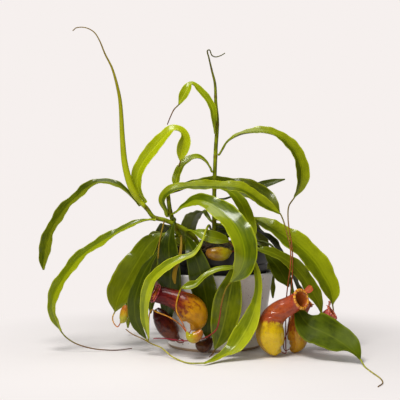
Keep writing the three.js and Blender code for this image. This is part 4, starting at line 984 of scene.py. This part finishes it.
def pitcher_material(name, bulb, waist, tube, streak, streak_share, turns=0.34, turned=0.62, ragged=0.12,
                     slant=0.0, wax=0.5):
    """A pitcher's wall: bulb colour below, turning at the waist to the tube's colour near the mouth, with
    streaks and blotches that grow upwards. The turn's edge is ragged by the streaks and may slant towards
    the viewer's right. The inside is a dark wall below and paler under the rim."""
    m = Finish(name)
    marks, along = m.marks(STREAKS), m.value("share")
    aside = m.calc("SUBTRACT", m.put("ShaderNodeSeparateXYZ", {0: m.place()}).outputs[0], SLANT_MIDDLE)
    edge = m.plus(along, m.times(marks["Streaks"], ragged))
    edge = m.calc("SUBTRACT", edge, m.times(aside, slant))
    colour = m.blend(m.ranged(edge, turns, turned), bulb, waist)
    colour = m.blend(m.ranged(edge, 0.58, 0.92), colour, tube)
    amount = m.ranged(along, 0.15, 0.75, streak_share * 0.25, streak_share)
    colour = m.over(colour, marks["Streaks"], amount, streak)
    colour = m.over(colour, m.times(marks["Blotches"], 0.4), m.ranged(along, 0.1, 0.6), streak)
    colour = m.over(colour, marks["Specks"], 0.22, SPECK)
    colour = m.over(colour, m.ranged(m.value("ahead"), 0.08, 0.16, 1.0, 0.0), 0.3, tube)
    colour = m.blend(m.value("within"), colour, m.blend(m.ranged(along, 0.5, 0.95), *THROAT))
    return m.settle(colour, m.plus(0.26, m.times(marks["Blotches"], 0.1)), marks["Streaks"], 0.18, 0.0005,
                    wax=wax, coat=0.1, specular=0.15, flesh=(0.15, 0.002, (1.0, 0.45, 0.15)))


def collar_material(name, pale, stripe):
    """The ribbed collar: pale, with stripes of the darker colour across it."""
    m = Finish(name)
    turn = m.value("turn")
    ribs = m.ranged(m.calc("SINE", m.times(turn, TURN * COLLAR["ribs"])), -0.2, 0.9)
    bands = m.put("ShaderNodeTexNoise", {"W": m.times(turn, COLLAR_BANDS), "Scale": 1.0, "Detail": 2.0},
                  noise_dimensions="1D").outputs[0]
    colour = m.blend(m.ranged(bands, 0.42, 0.6), pale, stripe)
    return m.settle(m.over(colour, ribs, 0.25, stripe), 0.22, ribs, 0.3, 0.0004, wax=0.5, coat=0.1,
                    flesh=(0.12, 0.0015, (1.0, 0.5, 0.2)))


def lid_material(name, middle, margin):
    """A pitcher's lid and spur: one colour along the rib fading into the other, with flecks."""
    m = Finish(name)
    flecks = m.ranged(m.noise(240.0, 3.0), 0.42, 0.62)
    colour = m.blend(m.ranged(m.calc("ABSOLUTE", m.value("across")), 0.0, 0.9), middle, margin)
    return m.settle(m.over(colour, flecks, 0.4, margin), 0.34, flecks, 0.2, 0.0004, wax=0.2,
                    flesh=(0.2, 0.0015, (1.0, 0.45, 0.2)))


def glaze_material():
    """Pale stoneware glaze with soft grey-brown speckles, faint turning lines and a bare foot."""
    m = Finish("speckled glaze")
    height = m.value("share")
    lines = m.noise(1.0, 3.0, at=m.triple(0.0, 0.0, m.times(height, 38.0)))
    colour = m.blend(m.ranged(m.noise(14.0, 4.0), 0.35, 0.7), (244, 241, 236), (232, 227, 219))
    colour = m.over(colour, m.ranged(m.noise(330.0, 2.0, 0.4), 0.68, 0.74), 0.75, (112, 92, 70))
    colour = m.over(colour, m.ranged(m.noise(900.0, 1.0, 0.4), 0.68, 0.76), 0.5, (140, 120, 98))
    foot = m.ranged(height, 0.03, 0.045, 1.0, 0.0)
    colour = m.blend(foot, colour, (176, 150, 122))
    return m.settle(colour, m.plus(0.3, m.times(foot, 0.5)), lines, 0.25, 0.0008, wax=0.25)


def nursery_material():
    """Thin black moulded plastic, dusty and faintly scuffed."""
    m = Finish("nursery plastic")
    dust = m.ranged(m.noise(60.0, 5.0, 0.65), 0.45, 0.75)
    around, up = m.times(m.value("turn"), 30.0), m.times(m.value("share"), 90.0)
    scuff = m.noise(1.5, 3.0, at=m.triple(around, 0.0, up))
    colour = m.blend(dust, (24, 21, 20), (46, 40, 36))
    return m.settle(colour, m.plus(0.42, m.times(dust, 0.25)), scuff, 0.15, 0.0005)


def soil_material():
    """Dark damp medium with green moss in patches."""
    m = Finish("damp medium")
    grains = m.noise(420.0, 6.0, 0.7)
    moss = m.ranged(m.noise(36.0, 4.0, 0.6), 0.44, 0.6)
    green = m.blend(m.ranged(grains, 0.4, 0.62), (40, 44, 14), (88, 92, 34))
    colour = m.blend(m.ranged(grains, 0.35, 0.65), (34, 25, 17), (78, 60, 40))
    return m.settle(m.over(colour, moss, 0.75, green), 0.9, grains, 0.9, 0.003)


def chip_material():
    """Bark chips, each of its own brown."""
    m = Finish("bark chips")
    grain = m.noise(500.0, 5.0, 0.7)
    colour = m.blend(m.value("tone"), (58, 40, 26), (128, 92, 60))
    return m.settle(m.blend(m.ranged(grain, 0.4, 0.7), colour, (40, 28, 20)), 0.85, grain, 0.7, 0.0015)


BLADE_MARKS = make_blade_marks()
STREAKS = make_streaks()

# Leaves: name, tip, base, deep patches, rib, how rough the surface is and how much wax it has
LEAF_LOOKS = {key: leaf_material(*values) for key, values in {
    "leaf": ("leaf green", (118, 130, 1), (98, 114, 1), (50, 64, 0), (176, 182, 24), 0.28, 0.42),
    "bright": ("leaf bright", (152, 162, 3), (138, 150, 3), (88, 102, 0), (200, 204, 44), 0.28, 0.4),
    "sheen": ("leaf sheen", (104, 122, 1), (82, 100, 1), (44, 58, 0), (176, 184, 20), 0.26, 0.66),
    # The calm look is darker towards its base, and that dark base is painted shade
    "calm": ("leaf calm painted shade base", (80, 94, 4), (26, 36, 2), (20, 30, 0), (116, 126, 20), 0.44, 0.0),
    "fresh": ("leaf fresh", (134, 146, 4), (124, 138, 4), (70, 84, 0), (190, 196, 44), 0.32, 0.4),
    "soft": ("leaf soft", (118, 130, 1), (98, 114, 1), (50, 64, 0), (176, 182, 24), 0.36, 0.15),
    "deep": ("leaf deep", (96, 104, 4), (84, 96, 3), (44, 56, 1), (150, 156, 24), 0.28, 0.32),
    # The dark look is painted shade: a darker copy of leaf green for the leaves that sit in the canopy's
    # shade
    "dark": ("leaf dark painted shade", (56, 66, 2), (42, 54, 1), (22, 32, 0), (104, 112, 16), 0.28, 0.16),
    "young": ("leaf rolled", (104, 78, 22), (150, 158, 8), (84, 84, 6), (168, 168, 40), 0.36, 0.2),
    "withered": ("leaf withered", (134, 104, 24), (120, 98, 22), (82, 58, 14), (160, 130, 44), 0.6, 0.0),
}.items()}
# Leaves whose looks differ from those of their slot
LEAF_TINTS = {
    "leaf_top_left": "fresh", "leaf_top_back": "fresh", "leaf_great_front": "sheen",
    # leaf_floor_right takes the calm look, whose dark base is painted shade
    "leaf_across_front": "soft", "leaf_floor_right": "calm", **dict.fromkeys((
        "leaf_back_2", "leaf_back_4", "leaf_back_6", "leaf_hanging_middle", "leaf_right_inner",
        "leaf_big_left", "leaf_across_back", "leaf_arch_far_left"), "deep"),
}
# Blades with painted light on one half and painted shade on the other, and which half is lit
PAINTED_LIGHT_HALF = {"leaf_long_left": 1, "leaf_arch_far_left": 1, "leaf_great_front": -1, "leaf_across_front": 1,
            "leaf_top_right": 1, "leaf_floor_front": 1, "leaf_bright_left": 1, "leaf_right_outer": 1}
# Tendrils: the colours near the leaf, midway and at the far end
TENDRILS = {key: tendril_material("tendril " + key, *colours) for key, colours in {
    "brown": ((112, 104, 20), (146, 74, 26), (118, 34, 24)),
    "olive": ((116, 120, 16), (110, 76, 24), (84, 46, 24)),
    "lime": ((150, 156, 14), (186, 178, 50), (120, 84, 24)),
    "gold": ((150, 150, 12), (206, 148, 30), (196, 96, 28)),
    "crimson": ((120, 110, 16), (140, 40, 40), (136, 8, 44)),
}.items()}
TENDRIL_TINTS = {"leaf_floor_front": "lime", "leaf_small_front": "gold", "leaf_shaded_left": "gold",
                 "leaf_great_front": "crimson", "leaf_floor_right": "lime", "leaf_big_left": "gold"}
# Pitchers: bulb, waist, tube, streaks and their share, then where bulb turns to waist, how ragged and slanted
# that edge is, and how much wax there is
PITCHER_LOOKS = {key: pitcher_material("pitcher " + key, *values) for key, values in {
    "front": ((214, 180, 16), (166, 78, 34), (166, 70, 44), (112, 34, 22), 0.45, 0.49, 0.52, 0.02, 4.0),
    "gold": ((196, 146, 24), (180, 104, 26), (160, 70, 36), (112, 34, 14), 0.7),
    "amber": ((186, 130, 12), (126, 38, 18), (72, 6, 12), (72, 12, 10), 0.7, 0.34, 0.62, 0.12, 0.0, 0.1),
    "young": ((166, 160, 24), (186, 150, 26), (176, 106, 36), (150, 80, 24), 0.4),
    "olive": ((150, 136, 16), (148, 116, 18), (126, 82, 20), (92, 58, 14), 0.4),
    "rose": ((190, 112, 60), (204, 100, 80), (206, 100, 90), (150, 50, 50), 0.4),
    # The shade look is painted shade: a darkened maroon for the pitcher that sits in the leaves' shade
    "shade": ((92, 40, 18), (74, 22, 16), (60, 12, 14), (36, 8, 8), 0.8),
    "dry": ((84, 50, 22), (74, 36, 18), (60, 26, 16), (40, 16, 10), 0.6),
}.items()}
# pitcher_in_shade wears the shade look, which is painted shade
PITCHER_TINTS = {"pitcher_front_left": "amber", "pitcher_front_right": "front", "pitcher_far_right": "rose",
                 "pitcher_dark_middle": "dry", "pitcher_in_shade": "shade", "pitcher_at_rim": "olive",
                 "pitcher_young_left": "young", "pitcher_far_left": "young"}
# Collars: pale colour and stripes. Lids: middle and margin.
COLLARS = {key: collar_material("collar " + key, *colours) for key, colours in {
    "front": ((236, 176, 44), (176, 76, 24)),
    "gold": ((232, 160, 60), (176, 66, 30)),
    "rose": ((222, 130, 90), (176, 60, 60)),
    "amber": ((176, 62, 56), (104, 16, 30)),
}.items()}
LIDS = {key: lid_material(*values) for key, values in {
    "front": ("lid front", (214, 116, 34), (196, 78, 34)),
    "rose": ("lid rose", (226, 136, 90), (206, 96, 76)),
    "gold": ("lid orange", (206, 110, 40), (184, 70, 34)),
    "amber": ("lid dark", (150, 50, 48), (108, 20, 34)),
}.items()}


# The plant
def build_stems():
    """Stems with swollen rings where the leaves sit and where old leaves have fallen."""
    bark = stem_material()
    for name in STEM_ROUTES:
        rows = seen(STEM_ROUTES[name])
        reach = path_length(rows)

        def rings_at(share, width, seats=STEM_SEATS[name], reach=reach):
            return sum(np.exp(-(((share - s) * reach / width) ** 2)) for s in seats)

        def swell(share, angle, rings_at=rings_at):
            return 1 + STEM["ring"] * rings_at(share, 1.6) + 0.02 * np.sin(5 * angle + 30 * share)

        rings, share, angle = tube_rings(rows, STEM["sides"], STEM["step"], swell)
        body = part(rings, share=share, turn=angle[None] / TURN, run=share * reach,
                    ring=np.clip(rings_at(share, 2.2), 0, 1), top=share if name == "climbing_stem" else 0.0)
        piece(name, [body], [bark])


def build_leaves():
    """Each leaf's blade, or the tube of a rolled one, with its tendril and a tone of its own."""
    rng = np.random.default_rng(SEED)
    for number, shape in enumerate(LEAVES):
        name = shape["name"]
        rows = placed_rows(shape)
        tone = float(rng.uniform(-1, 1))
        looks = [LEAF_LOOKS[LEAF_TINTS.get(name, shape["finish"])]]
        if shape["rolled"]:
            rings, share, _ = tube_rings(rows, ROLLED["sides"], ROLLED["step"], rolled_edge)
            parts = [part(rings, share=share, across=0.4, aside=3.0, run=share * path_length(rows),
                          under=0.3, tone=tone, half=0.0)]
        else:
            turn = math.radians(shape["turn"] or 0)
            view = np.array([math.sin(turn), -math.cos(turn), 0.0])
            rings, values = blade_rings(rows, shape["bend"], shape["fold"], shape["wave"], shape["length"],
                                        BLADE["phase"] * number, view)
            # half says which side of the blade gets painted light and which gets painted shade
            parts = [part(rings, tone=tone, half=values["across"] * PAINTED_LIGHT_HALF.get(name, 0), **values)]
            looks.append(TENDRILS[TENDRIL_TINTS.get(name, "brown" if shape["feeds"] else "olive")])
        if shape["tendril"]:
            string = tendril_rows(shape, rows)
            rings, share, _ = tube_rings(string, TENDRIL["sides"], TENDRIL["step"])
            parts.append(part(rings, 1, share=share, run=share * path_length(string)))
        piece(name, parts, looks)


def build_pitchers():
    """Each pitcher, with its collar and lid where it is open."""
    for name, data in PITCHERS.items():
        look, slot = PITCHER_TINTS.get(name, data["finish"]), data["finish"] + "_pitcher"
        if data["lid"]:
            piece(name, pitcher_open(name), [PITCHER_LOOKS[look], COLLARS[look], LIDS[look]])
        else:
            piece(name, pitcher_shut(name), [PITCHER_LOOKS[look]])


def build_pots():
    """Both pots and the growing medium between the stems."""
    piece("outer_pot", [outer_pot()], [glaze_material()])
    piece("nursery_pot", [nursery_pot()], [nursery_material()])
    piece("growing_medium", growing_medium(), [soil_material(), chip_material()])


# The stage
FLOOR = {"reach": 9.0, "rings": 24, "sides": 64, "near": 0.13, "far": 0.42}
AMBIENT = {"strength": 0.16, "less in gloss": 0.12}
AIM = (0.0, 0.0, 0.16)
LAMPS = {
    "key": {"place": (-0.28, -0.5, 1.15), "size": 0.42, "power": 11.5, "colour": (1.0, 0.99, 0.96)},
    "top": {"place": (-0.2, 0.15, 1.35), "size": 0.8, "power": 4.5, "colour": (1.0, 1.0, 1.0)},
    "side": {"place": (-0.45, -1.25, 0.5), "size": 0.9, "power": 6.4, "colour": (0.99, 0.99, 1.0)},
}
LENS, SENSOR = 76.15, 36.0


def build_floor():
    """A flat disc whose rings widen outwards. For the camera it fades into a glow like the surroundings."""
    sides = FLOOR["sides"]
    radius = np.linspace(0, 1, FLOOR["rings"] + 1)[1:, None] ** 2 * FLOOR["reach"]
    angle = round_angles(sides)
    rings = np.stack([radius * np.cos(angle), radius * np.sin(angle), np.zeros((len(radius), sides))], -1)
    spoke = np.arange(sides)
    beside = (spoke + 1) % sides
    faces = np.column_stack([np.zeros(sides, int), 1 + spoke, 1 + beside]).tolist()
    for first in range(1, 1 + (len(radius) - 1) * sides, sides):
        corners = [first + spoke, first + sides + spoke, first + sides + beside, first + beside]
        faces += np.column_stack(corners).tolist()
    mesh = bpy.data.meshes.new("floor")
    mesh.from_pydata([[0.0, 0.0, 0.0], *rings.reshape(-1, 3).tolist()], [], faces)
    m = Finish("pale floor")
    mesh.materials.append(m.settle(
        m.blend(m.ranged(m.noise(3.0, 2.0), 0.3, 0.7), (232, 227, 226), (238, 233, 232)), 0.7))
    flat = m.put("ShaderNodeVectorMath", {0: m.place()}, operation="LENGTH").outputs["Value"]
    camera_ray = m.put("ShaderNodeLightPath").outputs["Is Camera Ray"]
    amount = m.times(m.ranged(flat, FLOOR["near"], FLOOR["far"]), camera_ray)
    glow = m.put("ShaderNodeEmission", {"Color": linear(BRIGHT), "Strength": 1.0})
    mixed = m.put("ShaderNodeMixShader", {0: amount, 1: m.shader.outputs[0], 2: glow.outputs[0]})
    m.fill(m.output, {"Surface": mixed.outputs[0]})
    floor = bpy.data.objects.new("floor", mesh)
    bpy.context.collection.objects.link(floor)


def build_room():
    """Pale surroundings: bright to the camera, dim as light, and dimmer still in reflections."""
    world = bpy.data.worlds.new("pale room")
    bpy.context.scene.world = world
    world.use_nodes = True
    world.node_tree.nodes.clear()
    sky = Nodes(world.node_tree)
    ray = sky.put("ShaderNodeLightPath").outputs
    seen_sky = sky.put("ShaderNodeBackground", {"Color": linear(BRIGHT), "Strength": 1.0})
    dimmer = sky.times(ray["Is Glossy Ray"], AMBIENT["less in gloss"])
    strength = sky.calc("SUBTRACT", AMBIENT["strength"], dimmer)
    lit_sky = sky.put("ShaderNodeBackground", {"Color": linear((250, 248, 246)), "Strength": strength})
    mixed = sky.put("ShaderNodeMixShader", {0: ray["Is Camera Ray"], 1: lit_sky.outputs[0],
                                            2: seen_sky.outputs[0]})
    sky.put("ShaderNodeOutputWorld", {"Surface": mixed.outputs[0]})


def build_lamps():
    """Soft square lamps that point at the plant. The side one isn't seen in reflections."""
    for title, data in LAMPS.items():
        lamp = bpy.data.lights.new(title, "AREA")
        lamp.energy, lamp.size, lamp.color = data["power"], data["size"], data["colour"]
        obj = bpy.data.objects.new(title, lamp)
        obj.location = data["place"]
        obj.visible_glossy = title != "side"
        x, y, z = unit(np.array(AIM) - np.array(data["place"]))
        obj.rotation_euler = (math.acos(-z), 0.0, math.atan2(-x, y))
        bpy.context.collection.objects.link(obj)


def build_camera():
    """The photograph's eye: level, 1.1 m in front and 188 mm up."""
    data = bpy.data.cameras.new("camera")
    data.lens, data.sensor_width = LENS, SENSOR
    camera = bpy.data.objects.new("camera", data)
    camera.location = (EYE[0] * MM, -EYE[1] * MM, EYE[2] * MM)
    camera.rotation_euler = (math.pi / 2, 0.0, 0.0)
    bpy.context.collection.objects.link(camera)
    bpy.context.scene.camera = camera


build_camera()
build_pots()
build_stems()
build_leaves()
build_pitchers()
build_floor()
build_room()
build_lamps()
bpy.context.scene.view_settings.view_transform = "Standard"
